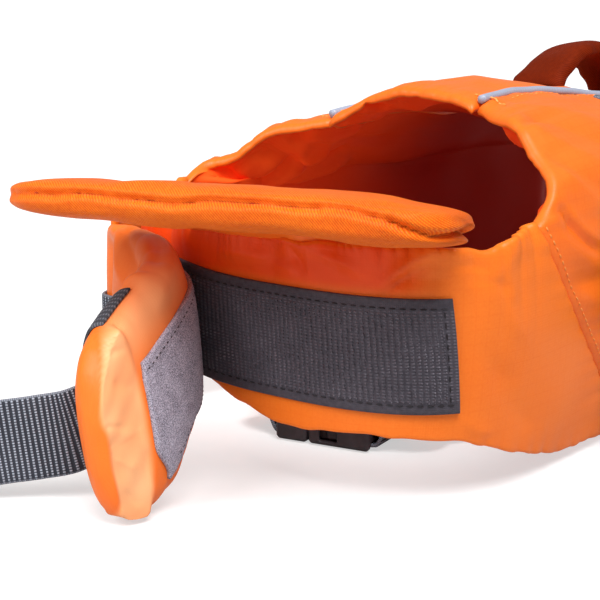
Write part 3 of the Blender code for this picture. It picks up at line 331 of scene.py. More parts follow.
def tape_group():
    """Woven ground of the hook tape: columns of hooks with a plain band along each long edge."""
    tree, given, out = new_group("hook_ground", {"Column Pitch": 2.0, "Row Pitch": 1.1, "Half Height": 19.6,
                                                 "Edge": 3.4})
    place = given.outputs["Millimetres"]
    along, across = split(tree, place)
    columns = swell(tree, along, given.outputs["Column Pitch"])
    rows = swell(tree, across, given.outputs["Row Pitch"])
    edge_gap = to_edge(tree, given.outputs["Half Height"], across)
    field = ramp(tree, maths(tree, "SUBTRACT", edge_gap, given.outputs["Edge"]), 0.0, 0.8)
    pile = times(tree, times(tree, columns, rows), field)
    weave = times(tree, swell(tree, along, 0.7), swell(tree, across, 0.7))
    dusty = noise(tree, place, 0.6, 4.0)
    wire(tree, plus(tree, pile, times(tree, weave, 0.35)), out.inputs["Height"])
    wire(tree, plus(tree, times(tree, pile, 0.55), times(tree, dusty, 0.5)), out.inputs["Tone"])
    return tree


def fuzz_group():
    """Matted loops of a brushed tape."""
    tree, given, out = new_group("brushed_loops", {"Tuft": 0.9, "Fibre": 0.34})
    place = given.outputs["Millimetres"]
    tufts = specks(tree, place, given.outputs["Tuft"], 4.0)
    fibres = specks(tree, place, given.outputs["Fibre"], 5.0)
    clouds = noise(tree, place, 0.16, 2.0)
    wire(tree, plus(tree, times(tree, tufts, 0.6), times(tree, fibres, 0.4)), out.inputs["Height"])
    sharp = ramp(tree, fibres, 0.36, 0.66)
    wire(tree, plus(tree, times(tree, sharp, 0.72), line(tree, clouds, 0.5, -0.10)), out.inputs["Tone"])
    return tree


def grain_group():
    """Fine spark-eroded grain of a moulded part."""
    tree, given, out = new_group("moulded_grain", {"Grain": 0.35})
    place = given.outputs["Millimetres"]
    wire(tree, specks(tree, place, given.outputs["Grain"], 3.0), out.inputs["Height"])
    wire(tree, ramp(tree, noise(tree, place, 0.12, 5.0), 0.42, 0.72), out.inputs["Tone"])
    return tree


HOOK_GROUND = tape_group()
BRUSHED_LOOPS = fuzz_group()
MOULDED_GRAIN = grain_group()


def mottle_group():
    """Slow, faint change of tone over a whole piece, as dye and handling leave it."""
    tree, given, out = new_group("dye_mottle", {"Patch": 28.0, "Amount": 0.1}, ("Tone",))
    patches = specks(tree, given.outputs["Millimetres"], given.outputs["Patch"], 4.0)
    centred = maths(tree, "SUBTRACT", patches, 0.5)
    wire(tree, times(tree, centred, given.outputs["Amount"]), out.inputs["Tone"])
    return tree


DYE_MOTTLE = mottle_group()


# Mask of painted shade: 0 at the neck opening, rising to 1 further inside the jacket.
def depth_group():
    """How far a place lies inside the jacket, by its distance along the body."""
    tree, given, out = new_group("inner_shade", {"Start": 0.0, "Full": 120.0}, ("Tone",))
    along, _ = split(tree, given.outputs["Millimetres"])
    wire(tree, ramp(tree, along, given.outputs["Start"], given.outputs["Full"]), out.inputs["Tone"])
    return tree


INNER_SHADE = depth_group()
print("shader groups:", len(bpy.data.node_groups))

# %% [markdown]
# ## Materials
# A material takes its weave from a group by the piece's own map, which counts hundreds of millimetres
# along and across the cloth.  A soft sheen stands for the fine fibres that catch light at the edges.

# %% Material builder
MAP_UNIT = 100.0
ROUGHNESS_SPREAD = 0.06


def finish(name, weave, dark, light, roughness, sheen, bump, object_map=False, settings=None,
           sheen_tint=(1.0, 0.8, 0.65), specular=0.35, mottle=0.5, painted_inner_shade=None, pale=None, painted_glow=None):
    """Principled material of one cloth or plastic.

    The colour mixed in further inside the jacket is painted shade, and the emission near its opening is
    painted light that stands in for light shining through the cloth.  The pale colour is mixed in where
    the piece's own "pale" value is 1: a painted highlight on the flap and a painted shade on the left band.
    """
    material = bpy.data.materials.new(name)
    material.use_nodes = True
    tree = material.node_tree
    shader = tree.nodes["Principled BSDF"]
    places = tree.nodes.new("ShaderNodeTexCoord")
    whole = scaled(tree, places.outputs["Object"], 1.0 / MM)
    place = whole
    if not object_map:
        chart = tree.nodes.new("ShaderNodeUVMap")
        chart.uv_map = "cloth"
        place = scaled(tree, chart.outputs[0], MAP_UNIT)
    cloth = use_group(tree, weave, place, settings)
    dye = use_group(tree, DYE_MOTTLE, whole, {"Amount": mottle})
    tone = plus(tree, cloth["Tone"], dye["Tone"])
    result = mixed(tree, tone, dark, light)
    # Painted shade: the colour darkens towards the inner colour further inside the jacket.
    if painted_inner_shade:
        inner = use_group(tree, INNER_SHADE, place)["Tone"]
        result = mixed(tree, inner, result, painted_inner_shade)
        # Painted light: an emission near the opening stands in for light shining through the cloth.
        near = maths(tree, "SUBTRACT", 1.0, inner)
        wire(tree, mixed(tree, near, (0.0, 0.0, 0.0), painted_glow), shader.inputs["Emission Color"])
        shader.inputs["Emission Strength"].default_value = 1.0
    # Painted light: the pale colour is a highlight on the flap and a shade on the left band's casing.
    if pale:
        where = tree.nodes.new("ShaderNodeAttribute")
        where.attribute_name = "pale"
        result = mixed(tree, where.outputs["Fac"], result, pale)
    wire(tree, result, shader.inputs["Base Color"])
    relief = tree.nodes.new("ShaderNodeBump")
    relief.inputs["Strength"].default_value = 1.0
    relief.inputs["Distance"].default_value = bump * MM
    wire(tree, cloth["Height"], relief.inputs["Height"])
    wire(tree, relief.outputs["Normal"], shader.inputs["Normal"])
    rough = ramp(tree, tone, 0.0, 1.0, roughness + ROUGHNESS_SPREAD, roughness - ROUGHNESS_SPREAD)
    wire(tree, rough, shader.inputs["Roughness"])
    shader.inputs["Sheen Weight"].default_value = sheen
    shader.inputs["Sheen Roughness"].default_value = 0.45
    shader.inputs["Sheen Tint"].default_value = (*sheen_tint, 1.0)
    shader.inputs["Specular IOR Level"].default_value = specular
    return material


# %% The finishes of this jacket
WARM_FIBRES = (1.0, 0.55, 0.22)
COOL_FIBRES = (0.9, 0.95, 1.0)
PACK_CLOTH = finish("pack_cloth", RIPSTOP_WEAVE, (0.86, 0.125, 0.004), (0.95, 0.195, 0.014), 0.42, 0.05, 0.05,
                    settings={"Thread Pitch": 0.8, "Grid Pitch": 4.6, "Grid": 0.25}, specular=0.35,
                    sheen_tint=WARM_FIBRES)
# Painted highlight: the flap cloth takes its pale colour where the flap marks its end face and crown.
FLAP_CLOTH = finish("flap_cloth", RIPSTOP_WEAVE, (0.88, 0.135, 0.006), (0.95, 0.20, 0.018), 0.42, 0.05, 0.03,
                    settings={"Thread Pitch": 0.8, "Grid Pitch": 4.6, "Grid": 0.1}, specular=0.35,
                    sheen_tint=WARM_FIBRES, mottle=0.25, pale=(0.97, 0.50, 0.235))
# Painted shade: the lining is a redder, darker copy of the pack cloth, darker still further inside, and it
# gives a faint painted light near the opening.
LINING_PAINTED_SHADE = finish("lining_cloth", RIPSTOP_WEAVE, (0.92, 0.080, 0.008), (0.96, 0.115, 0.014), 0.60, 0.0, 0.05,
                settings={"Thread Pitch": 0.8, "Grid Pitch": 4.6, "Grid": 0.15}, painted_inner_shade=(0.46, 0.014, 0.003),
                specular=0.05, painted_glow=(0.09, 0.005, 0.001))
# The band's pale colour is a dark red: painted shade for the casing under the chin pad.
RIPSTOP = finish("ripstop_cloth", RIPSTOP_WEAVE, (0.88, 0.145, 0.006), (0.97, 0.225, 0.020), 0.42, 0.06, 0.06,
                 settings={"Thread Pitch": 0.9, "Grid Pitch": 4.8, "Grid": 0.2}, specular=0.25,
                 sheen_tint=WARM_FIBRES, pale=(0.86, 0.055, 0.004))
TWILL = finish("twill_cloth", TWILL_WEAVE, (0.72, 0.075, 0.002), (0.97, 0.225, 0.012), 0.45, 0.05, 0.14,
               specular=0.15, sheen_tint=WARM_FIBRES)
HOOK_TAPE = finish("hook_tape", HOOK_GROUND, (0.030, 0.026, 0.034), (0.155, 0.140, 0.170), 0.66, 0.06, 0.25,
                   sheen_tint=(0.9, 0.85, 1.0), specular=0.2, mottle=0.3)
HOOKS = finish("hook_tips", MOULDED_GRAIN, (0.085, 0.077, 0.094), (0.20, 0.185, 0.22), 0.55, 0.0, 0.02,
               object_map=True, mottle=1.2, specular=0.25)
LOOP_TAPE = finish("loop_tape", BRUSHED_LOOPS, (0.065, 0.060, 0.078), (0.60, 0.56, 0.68), 0.9, 0.08, 0.4,
                   object_map=True, sheen_tint=(0.95, 0.92, 1.0), specular=0.15, mottle=0.25)
WEBBING_DARK = (0.020, 0.023, 0.034)
WEBBING_LIGHT = (0.47, 0.51, 0.60)
WEBBING = finish("neck_webbing", WEBBING_WEAVE, WEBBING_DARK, WEBBING_LIGHT, 0.68, 0.1, 0.12,
                 sheen_tint=COOL_FIBRES, mottle=0.2)
# Painted shade: the neck webbing where it crosses the flap's crown, in darker and flatter colours.
PAINTED_SHADE_WEBBING = finish("crown_webbing", WEBBING_WEAVE, (0.040, 0.043, 0.052), (0.17, 0.18, 0.21),
                       0.70, 0.05, 0.06, specular=0.2, sheen_tint=COOL_FIBRES, mottle=0.2)
NARROW_WEBBING = finish("narrow_webbing", WEBBING_WEAVE, WEBBING_DARK, WEBBING_LIGHT, 0.68, 0.1,
                        0.12, settings={"Half Width": 10.0}, sheen_tint=COOL_FIBRES, mottle=0.2)
HANDLE_WEBBING_FINISH = finish("handle_webbing_weave", WEBBING_WEAVE, WEBBING_DARK, (0.20, 0.22, 0.27),
                               0.68, 0.1, 0.12, settings={"Half Width": 12.5},
                               sheen_tint=COOL_FIBRES, mottle=0.2)
REFLECTIVE = finish("reflective_tape", RIPSTOP_WEAVE, (0.30, 0.34, 0.45), (0.46, 0.50, 0.62), 0.30, 0.0, 0.03,
                    settings={"Thread Pitch": 0.5, "Grid Pitch": 1.6, "Grid": 0.5}, specular=0.6, mottle=0.2)
# The handle cover is a dark rust cloth, much darker than the pack cloth; part of that darkness is painted
# shade.
HANDLE_CLOTH = finish("handle_cloth", TWILL_WEAVE, (0.095, 0.007, 0.0005), (0.21, 0.019, 0.001),
                      0.65, 0.0, 0.08, specular=0.06, mottle=0.9)
PLASTIC = finish("buckle_plastic", MOULDED_GRAIN, (0.040, 0.031, 0.036), (0.068, 0.054, 0.060),
                 0.38, 0.0, 0.02, object_map=True, specular=0.5, mottle=0.3)
PALE_THREAD, ORANGE_THREAD, DARK_THREAD, GREY_THREAD = [
    finish(name, MOULDED_GRAIN, dark, light, roughness, 0.1, 0.02, object_map=True)
    for name, dark, light, roughness in (
        ("pale_thread", (0.85, 0.27, 0.05), (0.95, 0.40, 0.11), 0.6),
        ("orange_thread", (0.50, 0.035, 0.002), (0.66, 0.07, 0.004), 0.6),
        ("dark_thread", (0.008, 0.006, 0.010), (0.020, 0.017, 0.024), 0.55),
        ("grey_thread", (0.20, 0.18, 0.21), (0.55, 0.52, 0.57), 0.6))]
TABLE_TOP = finish("white_table", MOULDED_GRAIN, (0.50, 0.50, 0.50), (0.54, 0.54, 0.54), 0.7, 0.0, 0.01,
                   object_map=True, mottle=0.0, specular=0.2)
print("materials:", len(bpy.data.materials))

# %% Table
FLOOR_REACH = 6.0
FLOOR_LIFT = 0.55


def brighten_floor():
    """Let the table top read as plain white: a little light of its own, seen only by the eye."""
    tree = TABLE_TOP.node_tree
    shader = tree.nodes["Principled BSDF"]
    shader.inputs["Emission Color"].default_value = (1.0, 1.0, 1.0, 1.0)
    path = tree.nodes.new("ShaderNodeLightPath")
    lift = times(tree, path.outputs["Is Camera Ray"], FLOOR_LIFT)
    wire(tree, lift, shader.inputs["Emission Strength"])


brighten_floor()


def add_floor():
    """A wide pale table top at height 0, just under the jacket."""
    mesh = bpy.data.meshes.new("table_top")
    corners = [(x * FLOOR_REACH, y * FLOOR_REACH, 0.0) for x, y in ((-1, -1), (1, -1), (1, 1), (-1, 1))]
    mesh.from_pydata(corners, [], [(0, 1, 2, 3)])
    mesh.materials.append(TABLE_TOP)
    table = bpy.data.objects.new("table_top", mesh)
    bpy.context.scene.collection.objects.link(table)


add_floor()

# %% [markdown]
# ## The jacket's form
# The back, sides and chest lie on one outer form.  Its arch is a profile read by girth, the way round
# from the spine, and its chest is an outline seen from above, read by arc, the way round from the front
# centre.  The tables are the maker's own, so a piece laid on the form lies where its node does.

# %% Sizes of the form
FLOOR_MIDDLE = np.array((-27.87, 19.44, 0.0))
HALF_WIDTH = 88.5
SPINE_HEIGHT = 134.0
CHEST_CENTRE = -20.0
CHEST_REACH = 77.0
CHEST_POWER = 3.4
CHEST_TUCK = 0.35
SIDE_SLUMP = 10.5
SLUMP_SPREAD = 40.0
SLUMP_FLOOR = 96.0
SLUMP_HEIGHT = 20.0
REAR_STIFFNESS = 0.24
STIFFNESS_REACH = 120.0
SADDLE_START = 50.0
SADDLE_REACH = 55.0
SADDLE_SHIFT = 38.0
SADDLE_DEPTH = 5.0
SADDLE_HALF_WIDTH = 40.0
REAR_STATION = 241.0
SEAM_GAP = 0.4
CHEST_SEAM_GAP = 1.0
TAPE_GAP = 0.6
BAND_CLOTH = 2.2
EDGE_CLOTH = 3.2
SIDE_FOAM = 14.0
BACK_FOAM = 10.0
FLOOR_FOAM = 9.0
SIDE_SEAM_DIP = 2.3
PIPING_SEAM_DIP = 1.2
FREE_EDGE_DIP = 1.2
PUFF_RISE = 14.0
FOAM_TAPER = 28.0
GATHER_PITCH = 30.0
GATHER_DEPTH = 1.3
GATHER_FADE = 14.0
WEBBING_THICK = 1.4


class Table:
    """A short table of sizes, read on a smooth curve through its rows; the first column is the key."""

    def __init__(self, columns, rows):
        self.columns = columns
        self.values = np.array(rows, dtype=float)
        steps = np.diff(self.values[:, 0])[:, None]
        slopes = np.diff(self.values, axis=0) / steps
        inner = (slopes[:-1] * steps[1:] + slopes[1:] * steps[:-1]) / (steps[:-1] + steps[1:])
        self.tangents = np.vstack((slopes[:1], inner, slopes[-1:]))

    def at(self, column, key):
        """Value of a column where the key column has the value asked for."""
        index = self.columns.index(column)
        keys = self.values[:, 0]
        key = np.clip(key, keys[0], keys[-1])
        row = np.clip(np.searchsorted(keys, key, side="right") - 1, 0, len(keys) - 2)
        step = keys[row + 1] - keys[row]
        part = (key - keys[row]) / step
        start = self.values[row, index]
        end = self.values[row + 1, index]
        leave = self.tangents[row, index] * step
        arrive = self.tangents[row + 1, index] * step
        blend = part * part * (3 - 2 * part)
        return (start + (end - start) * blend + leave * part * (1 - part) ** 2
                - arrive * part * part * (1 - part))


# Half of the arch seen from the front: girth from the spine, half width and height
PROFILE = Table(("girth", "half_width", "height"), (
    (0.0, 0.0, 134.0), (20.0, 20.0, 133.2), (38.4, 38.0, 130.6), (51.0, 50.0, 127.6),
    (63.7, 62.0, 123.4), (77.0, 73.0, 116.0), (91.0, 82.0, 105.0), (107.0, 87.2, 90.0),
    (127.0, 88.5, 70.0), (152.0, 87.0, 45.0), (177.0, 83.0, 20.0), (197.7, 78.0, 0.0)))
FLOOR_GIRTH = 197.7
SHOULDER_GIRTH = 63.7

# The same wall read upwards, for the chest bands
WALL = Table(("height", "half_width", "girth"), [
    (height, half_width, girth)
    for girth, half_width, height in reversed(PROFILE.values.tolist()) if girth >= SHOULDER_GIRTH])

# Size of the arch along the body
BODY = Table(("station", "width_share", "spine_height"), (
    (-10.0, 1.0, 133.8), (0.0, 1.0, 134.0), (28.0, 1.0, 134.8), (62.0, 1.0, 132.4), (95.0, 0.985, 129.4),
    (130.0, 0.965, 127.5), (170.0, 0.94, 126.0), (215.0, 0.91, 123.0), (245.0, 0.88, 120.0)))

# Neck edge of a side panel from the piping to the chest seam, then the chest seam down to the floor
NECK_EDGE = Table(("girth", "station"), (
    (36.0, -1.0), (49.0, -7.5), (72.0, -16.0), (84.0, -19.5), (91.0, -23.0), (98.0, -29.5),
    (103.5, -37.0)))
CHEST_SEAM = Table(("girth", "station"), (
    (103.5, -37.0), (117.0, -29.0), (132.0, -18.5), (148.0, -5.0), (160.0, 5.5), (197.7, 40.0)))
SEAM_TOP_GIRTH = 103.5
SEAM_FLOOR_STATION = 40.0
REAR_EDGE = Table(("girth", "station"), (
    (36.0, 238.0), (80.0, 237.0), (127.0, 234.0), (160.0, 229.0), (181.0, 219.0), (197.7, 204.0)))

# Piping line between the back and a side panel, by its share of the way to the rear
PIPING_LINE = Table(("share", "girth"), (
    (0.0, 36.0), (0.07, 34.6), (0.17, 35.0), (0.26, 37.6), (0.34, 40.0), (0.60, 44.5), (1.0, 47.0)))
PIPING_RADIUS = 1.3
PIPING_ROOM = PIPING_RADIUS + SEAM_GAP

# %% Reading the form


def smooth(value):
    """Rise from 0 to 1 without a corner."""
    part = np.clip(value, 0.0, 1.0)
    return part * part * (3 - 2 * part)


def rise(distance, reach):
    """Quarter round from 0 at an edge to 1 at the reach, as stuffed cloth rises from its seam."""
    part = np.clip(distance / reach, 0.0, 1.0)
    return np.sqrt(1 - (1 - part) ** 2)


def unit(vectors):
    """Vectors of length one."""
    lengths = np.linalg.norm(vectors, axis=-1, keepdims=True)
    return vectors / np.maximum(lengths, 1e-9)


def hump(value, middle, reach):
    """A bell that is 1 at its middle and fades over a reach."""
    return np.exp(-((value - middle) / reach) ** 2)


def between(value, start, end, leaving, arriving):
    """1 inside a stretch and 0 outside it, with a soft step of its own width at each end."""
    return smooth((value - start) / leaving) * smooth((end - value) / arriving)


def walked_along(places):
    """Distance walked along places."""
    return np.concatenate(([0.0], np.cumsum(np.linalg.norm(np.diff(places, axis=0), axis=1))))


def slump(x, y, z):
    """Height after the back has sunk between its pipings and the wearer's right side has sagged."""
    behind = smooth((y - SADDLE_START) / SADDLE_REACH)
    middle = SADDLE_SHIFT * behind
    side = smooth((middle - x) / (SLUMP_SPREAD + middle))
    along = 1 - REAR_STIFFNESS * smooth(y / STIFFNESS_REACH)
    sunk = SADDLE_DEPTH * behind * np.clip(1 - (x / SADDLE_HALF_WIDTH) ** 2, 0.0, 1.0)
    return z - (sunk + SIDE_SLUMP * side * along) * smooth((z - SLUMP_FLOOR) / SLUMP_HEIGHT)


def chest_half_width(station):
    """Half width of the chest's outline at a station."""
    forward = np.clip((CHEST_CENTRE - station) / CHEST_REACH, 0.0, 1.0)
    return HALF_WIDTH * (1 - forward ** CHEST_POWER) ** (1 / CHEST_POWER)


def arch_point(girth, station):
    """Outer form over the back and sides; girth is positive on the wearer's left."""
    around = np.abs(girth)
    share = BODY.at("width_share", station) * chest_half_width(station) / HALF_WIDTH
    x = np.sign(girth) * PROFILE.at("half_width", around) * share
    z = PROFILE.at("height", around) * BODY.at("spine_height", station) / SPINE_HEIGHT
    return np.stack((x, station + 0 * x, slump(x, station, z)), axis=-1)


def chest_outline():
    """Arc, half width and station round the chest, from the front centre back along the side."""
    angle = np.linspace(0.0, math.pi / 2, 1201)
    x = HALF_WIDTH * np.sin(angle) ** (2 / CHEST_POWER)
    y = CHEST_CENTRE - CHEST_REACH * np.cos(angle) ** (2 / CHEST_POWER)
    x = np.append(x, HALF_WIDTH)
    y = np.append(y, SEAM_FLOOR_STATION + 20.0)
    return walked_along(np.column_stack((x, y))), x, y


OUTLINE_ARC, OUTLINE_X, OUTLINE_Y = chest_outline()


def chest_point(arc, height):
    """Outer form round the chest; arc is positive on the wearer's left."""
    around = np.abs(arc)
    x = np.interp(around, OUTLINE_ARC, OUTLINE_X)
    y = np.interp(around, OUTLINE_ARC, OUTLINE_Y)
    fullness = WALL.at("half_width", height) / HALF_WIDTH
    ahead = np.minimum(y - CHEST_CENTRE, 0.0)
    x = np.sign(arc) * x * fullness
    y = y - ahead * CHEST_TUCK * (1 - fullness)
    return np.stack((x, y, slump(x, y, height)), axis=-1)


def arc_of_station(station):
    """Arc round the chest at which its side reaches a station."""
    return np.interp(station, OUTLINE_Y, OUTLINE_ARC)


def grid_normals(points, outward):
    """Unit normals of a grid of points, on the side of it that faces away from a middle point."""
    normals = unit(np.cross(np.gradient(points, axis=0), np.gradient(points, axis=1)))
    middle = (points.shape[0] // 2, points.shape[1] // 2)
    if np.dot(normals[middle], points[middle] - np.asarray(outward)) < 0:
        normals = -normals
    return normals


BODY_MIDDLE = (0.0, 60.0, 40.0)
print("chest outline runs", round(float(OUTLINE_ARC[-1])), "mm on each side")

# %% [markdown]
# ## Making a piece
# Sewn cloth is a closed shell: an outer and an inner grid of points, joined round the rim by a small
# roll, because a turned hem is round and not square.  Each piece carries a map in hundreds of
# millimetres, so that one weave runs over all of them at one size.

# %% Shells, rings and their map
RIM_STEPS = 4


def to_metres(points):
    """Points of the maker's frame, in metres about the middle of the floor area."""
    return (np.asarray(points, dtype=float) - FLOOR_MIDDLE) * MM


def take_place(piece, replaced):
    """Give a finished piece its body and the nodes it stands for."""
    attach(piece, BODY_NAME)
    if replaced:
        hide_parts(*replaced)
    print(piece.name, len(piece.data.polygons), "faces")


def new_object(mesh):
    """Link an object for a mesh, under the mesh's own name."""
    piece = bpy.data.objects.new(mesh.name, mesh)
    bpy.context.scene.collection.objects.link(piece)
    return piece


def keep_on_points(mesh, label, values):
    """Keep a number or a direction on every point of a mesh."""
    values = np.asarray(values, dtype=np.float32)
    kind, field = ("FLOAT_VECTOR", "vector") if values.ndim == 2 else ("FLOAT", "value")
    layer = mesh.attributes.new(label, kind, "POINT")
    layer.data.foreach_set(field, values.ravel())


def add_piece(name, points, faces, corner_map, finishes, replaced, lined=None):
    """Link a finished mesh, turned outwards, and give it its body and node."""
    mesh = bpy.data.meshes.new(name)
    mesh.from_pydata(to_metres(points).tolist(), [], faces)
    layer = mesh.uv_layers.new(name="cloth")
    layer.data.foreach_set("uv", (np.asarray(corner_map) / MAP_UNIT).astype(np.float32).ravel())
    bm = bmesh.new()
    bm.from_mesh(mesh)
    bmesh.ops.recalc_face_normals(bm, faces=bm.faces)
    bm.to_mesh(mesh)
    bm.free()
    mesh.shade_smooth()
    mesh.materials.append(finishes)
    if lined:
        # Painted shade: the inner faces of a lined piece take the lining's darker colour.
        mesh.materials.append(LINING_PAINTED_SHADE)
        which = np.zeros(len(mesh.polygons), dtype=np.int32)
        which[lined[0]:lined[1]] = 1
        mesh.polygons.foreach_set("material_index", which)
    piece = new_object(mesh)
    take_place(piece, replaced)
    return piece


def border_of(rows, columns):
    """Grid places round the border, in order."""
    border = [(0, j) for j in range(columns - 1)]
    border += [(i, columns - 1) for i in range(rows - 1)]
    border += [(rows - 1, j) for j in range(columns - 1, 0, -1)]
    border += [(i, 0) for i in range(rows - 1, 0, -1)]
    return border


def outward_ways(grid):
    """Directions out of a grid's border, along its surface."""
    ways = np.zeros_like(grid)
    ways[0] += unit(grid[0] - grid[1])
    ways[-1] += unit(grid[-1] - grid[-2])
    ways[:, 0] += unit(grid[:, 0] - grid[:, 1])
    ways[:, -1] += unit(grid[:, -1] - grid[:, -2])
    return ways


def shell(name, outer, inner, chart, finishes, replaced, roll=1.0, lining=False):
    """Closed cloth between two grids with a rolled rim; chart gives millimetres along and across."""
    rows, columns = outer.shape[:2]
    border = border_of(rows, columns)
    count = rows * columns
    index = np.arange(count).reshape(rows, columns)
    rim_rows = np.array([index[place] for place in border])
    ways = outward_ways(outer).reshape(-1, 3)[rim_rows]
    top = outer.reshape(-1, 3)[rim_rows]
    under = inner.reshape(-1, 3)[rim_rows]
    middle = (top + under) / 2
    half = (top - under) / 2
    reach = np.linalg.norm(half, axis=1, keepdims=True) * roll
    rings = []
    for step in range(1, RIM_STEPS):
        turn = math.pi * step / RIM_STEPS
        rings.append(middle + half * math.cos(turn) + ways * reach * math.sin(turn))
    points = np.vstack([outer.reshape(-1, 3), inner.reshape(-1, 3), *rings])
    flat = chart.reshape(-1, 2)
    charts = np.vstack([flat, flat, *[flat[rim_rows]] * (RIM_STEPS - 1)])
    a = index[:-1, :-1].ravel()
    b = index[:-1, 1:].ravel()
    c = index[1:, 1:].ravel()
    d = index[1:, :-1].ravel()
    quads = np.column_stack((a, b, c, d))
    faces = [quads, quads[:, ::-1] + count]
    loops = [rim_rows] + [2 * count + k * len(border) + np.arange(len(border)) for k in range(RIM_STEPS - 1)]
    loops.append(rim_rows + count)
    for first, second in zip(loops, loops[1:]):
        faces.append(np.column_stack((first, np.roll(first, -1), np.roll(second, -1), second)))
    faces = np.vstack(faces)
    lined = (len(quads), 2 * len(quads)) if lining else None
    return add_piece(name, points, faces.tolist(), charts[faces].reshape(-1, 2), finishes, replaced,
                     lined)


def ringed(name, rings, runs, rounds, finishes, replaced):
    """Closed body through rings, with its ends drawn together; runs and rounds give the map."""
    count, sides = rings.shape[:2]
    points = np.vstack([rings.reshape(-1, 3), rings[0].mean(0)[None], rings[-1].mean(0)[None]])
    index = np.arange(count * sides).reshape(count, sides)
    following = np.roll(index, -1, axis=1)
    quads = np.stack((index[:-1], following[:-1], following[1:], index[1:]), axis=-1).reshape(-1, 4)
    closing = np.append(rounds, 2 * rounds[-1] - rounds[-2])
    corners = [np.stack(np.broadcast_arrays(runs[ahead:count - 1 + ahead, None],
                                            closing[None, beside:sides + beside]), axis=-1)
               for ahead, beside in ((0, 0), (0, 1), (1, 1), (1, 0))]
    corner_map = np.stack(corners, axis=2).reshape(-1, 2)
    faces = quads.tolist()
    end_map = []
    for ring, centre, run in ((index[0], count * sides, runs[0]), (index[-1], count * sides + 1, runs[-1])):
        for k in range(sides):
            faces.append([int(ring[k]), int(ring[(k + 1) % sides]), centre])
            end_map += [(run, closing[k]), (run, closing[k + 1]), (run, closing[k])]
    return add_piece(name, points, faces, np.vstack((corner_map, end_map)), finishes, replaced)


# %% [markdown]
# ## Folds
# Gathered cloth stands in rounded puffs with narrow valleys between them, of uneven width and length.
# A crease is a soft ridge or trough between two places on the cloth, listed in a table.  Both
# only move the cloth along its normal, by a millimetre or two.

# %% Puckers, creases and slow waves
WAVE_COUNT = 6


def puckers(along, gap, pitch, depth, reach, seed):
    """Uneven puffs along an edge that fade away from it."""
    phase = (math.pi * along / pitch + 0.8 * np.sin(along / (1.7 * pitch) + seed)
             + 0.5 * np.sin(along / (0.62 * pitch) + 2.3 * seed))
    size = depth * (0.68 + 0.32 * np.sin(along / (2.3 * pitch) + 3.1 * seed))
    fade = reach * (0.85 + 0.35 * np.sin(along / (1.3 * pitch) + 5.0 * seed))
    puff = 2 * np.abs(np.cos(phase)) ** 0.75 - 1
    return size * puff * np.exp(-np.maximum(gap, 0.0) / fade)


def pucker_rows(along, gap, seed, rows):
    """Sum of puckers of several sizes; each row gives pitch, depth, reach and its shift of the seed."""
    return sum(puckers(along, gap, pitch, depth, reach, seed + shift) for pitch, depth, reach, shift in rows)


def creases(along, across, table):
    """Sum of soft ridges (depth above 0) and troughs (below 0) between places on the cloth."""
    total = np.zeros(np.broadcast(along, across).shape)
    for start_along, start_across, end_along, end_across, width, depth in table:
        way = np.array((end_along - start_along, end_across - start_across))
        length = math.hypot(*way)
        way = way / length
        run = (along - start_along) * way[0] + (across - start_across) * way[1]
        off = (along - start_along) * way[1] - (across - start_across) * way[0]
        off = off + 0.06 * length * np.sin(math.pi * np.clip(run / length, 0, 1))
        part = run / length
        fade = smooth(part * 2.6 + 0.35) * smooth((1 - part) * 2.6 + 0.35)
        spread = width * (0.75 + 0.5 * np.clip(part, 0, 1))
        total = total + depth * np.exp(-np.abs(off / spread) ** 1.5) * fade
    return total


def waves(along, across, size, seed):
    """Slow swelling of soft cloth, from a few slanting waves."""
    draw = np.random.default_rng(seed)
    total = np.zeros(np.broadcast(along, across).shape)
    for _ in range(WAVE_COUNT):
        turn = draw.uniform(0, FULL_TURN)
        length = size * draw.uniform(0.6, 1.7)
        phase = draw.uniform(0, FULL_TURN)
        way = along * math.cos(turn) + across * math.sin(turn)
        total = total + np.sin(FULL_TURN * way / length + phase)
    return total / WAVE_COUNT


def crowd(count, first_share, first_part):
    """Shares from 0 to 1 that put a part of the steps into the first share of the way."""
    near = np.linspace(0.0, first_share, int(count * first_part), endpoint=False)
    far = np.linspace(first_share, 1.0, count - len(near))
    return np.concatenate((near, far))


# %% [markdown]
# ## Foam panels
# The back and the two sides are foam slabs in a cloth cover.  The cover is tight over the foam, sinks at
# its seams, and is gathered along the neck opening, where a casing holds it in.

# %% Side panels
SIDE_ROWS = 112
SIDE_COLUMNS = 128
RIM_PUCKER_PITCH = 5.6
FRONT_TAPER = 17.0
LINING_PUCKER_PITCH = 13.0

# Folds of each panel: station and girth of both ends, half width and height in millimetres
LEFT_FOLDS = (
    (-25.5, 97.0, -2.0, 117.6, 1.9, -2.1), (-20.0, 98.5, -1.0, 114.5, 2.4, 1.3),
    (-30.0, 104.5, 2.0, 124.0, 3.4, 1.1), (-34.0, 100.0, -20.0, 104.0, 2.6, 0.9),
    (-16.0, 86.0, 12.0, 106.0, 4.5, 1.3), (-14.0, 80.0, 22.0, 104.0, 3.6, -1.3),
    (-10.0, 66.0, 30.0, 98.0, 6.0, 1.2), (-6.0, 52.0, 34.0, 84.0, 5.0, -1.1),
    (2.0, 44.0, 52.0, 74.0, 7.0, 1.1), (-22.0, 118.0, 30.0, 138.0, 6.0, -0.8),
    (-12.0, 130.0, 44.0, 146.0, 7.0, 0.9), (30.0, 60.0, 76.0, 96.0, 8.0, -1.0),
    (60.0, 112.0, 100.0, 80.0, 6.0, -1.2), (66.0, 150.0, 96.0, 118.0, 6.0, 1.0),
    (110.0, 70.0, 150.0, 120.0, 8.0, 1.1), (120.0, 60.0, 158.0, 104.0, 4.0, -1.2),
    (150.0, 130.0, 210.0, 150.0, 6.0, -1.2), (160.0, 150.0, 214.0, 168.0, 5.0, 0.9),
    (190.0, 60.0, 232.0, 100.0, 7.0, 1.2), (198.0, 58.0, 236.0, 84.0, 3.5, -1.1),
    (200.0, 160.0, 236.0, 120.0, 5.0, -0.9), (0.0, 140.0, 60.0, 168.0, 6.0, -0.8),
)
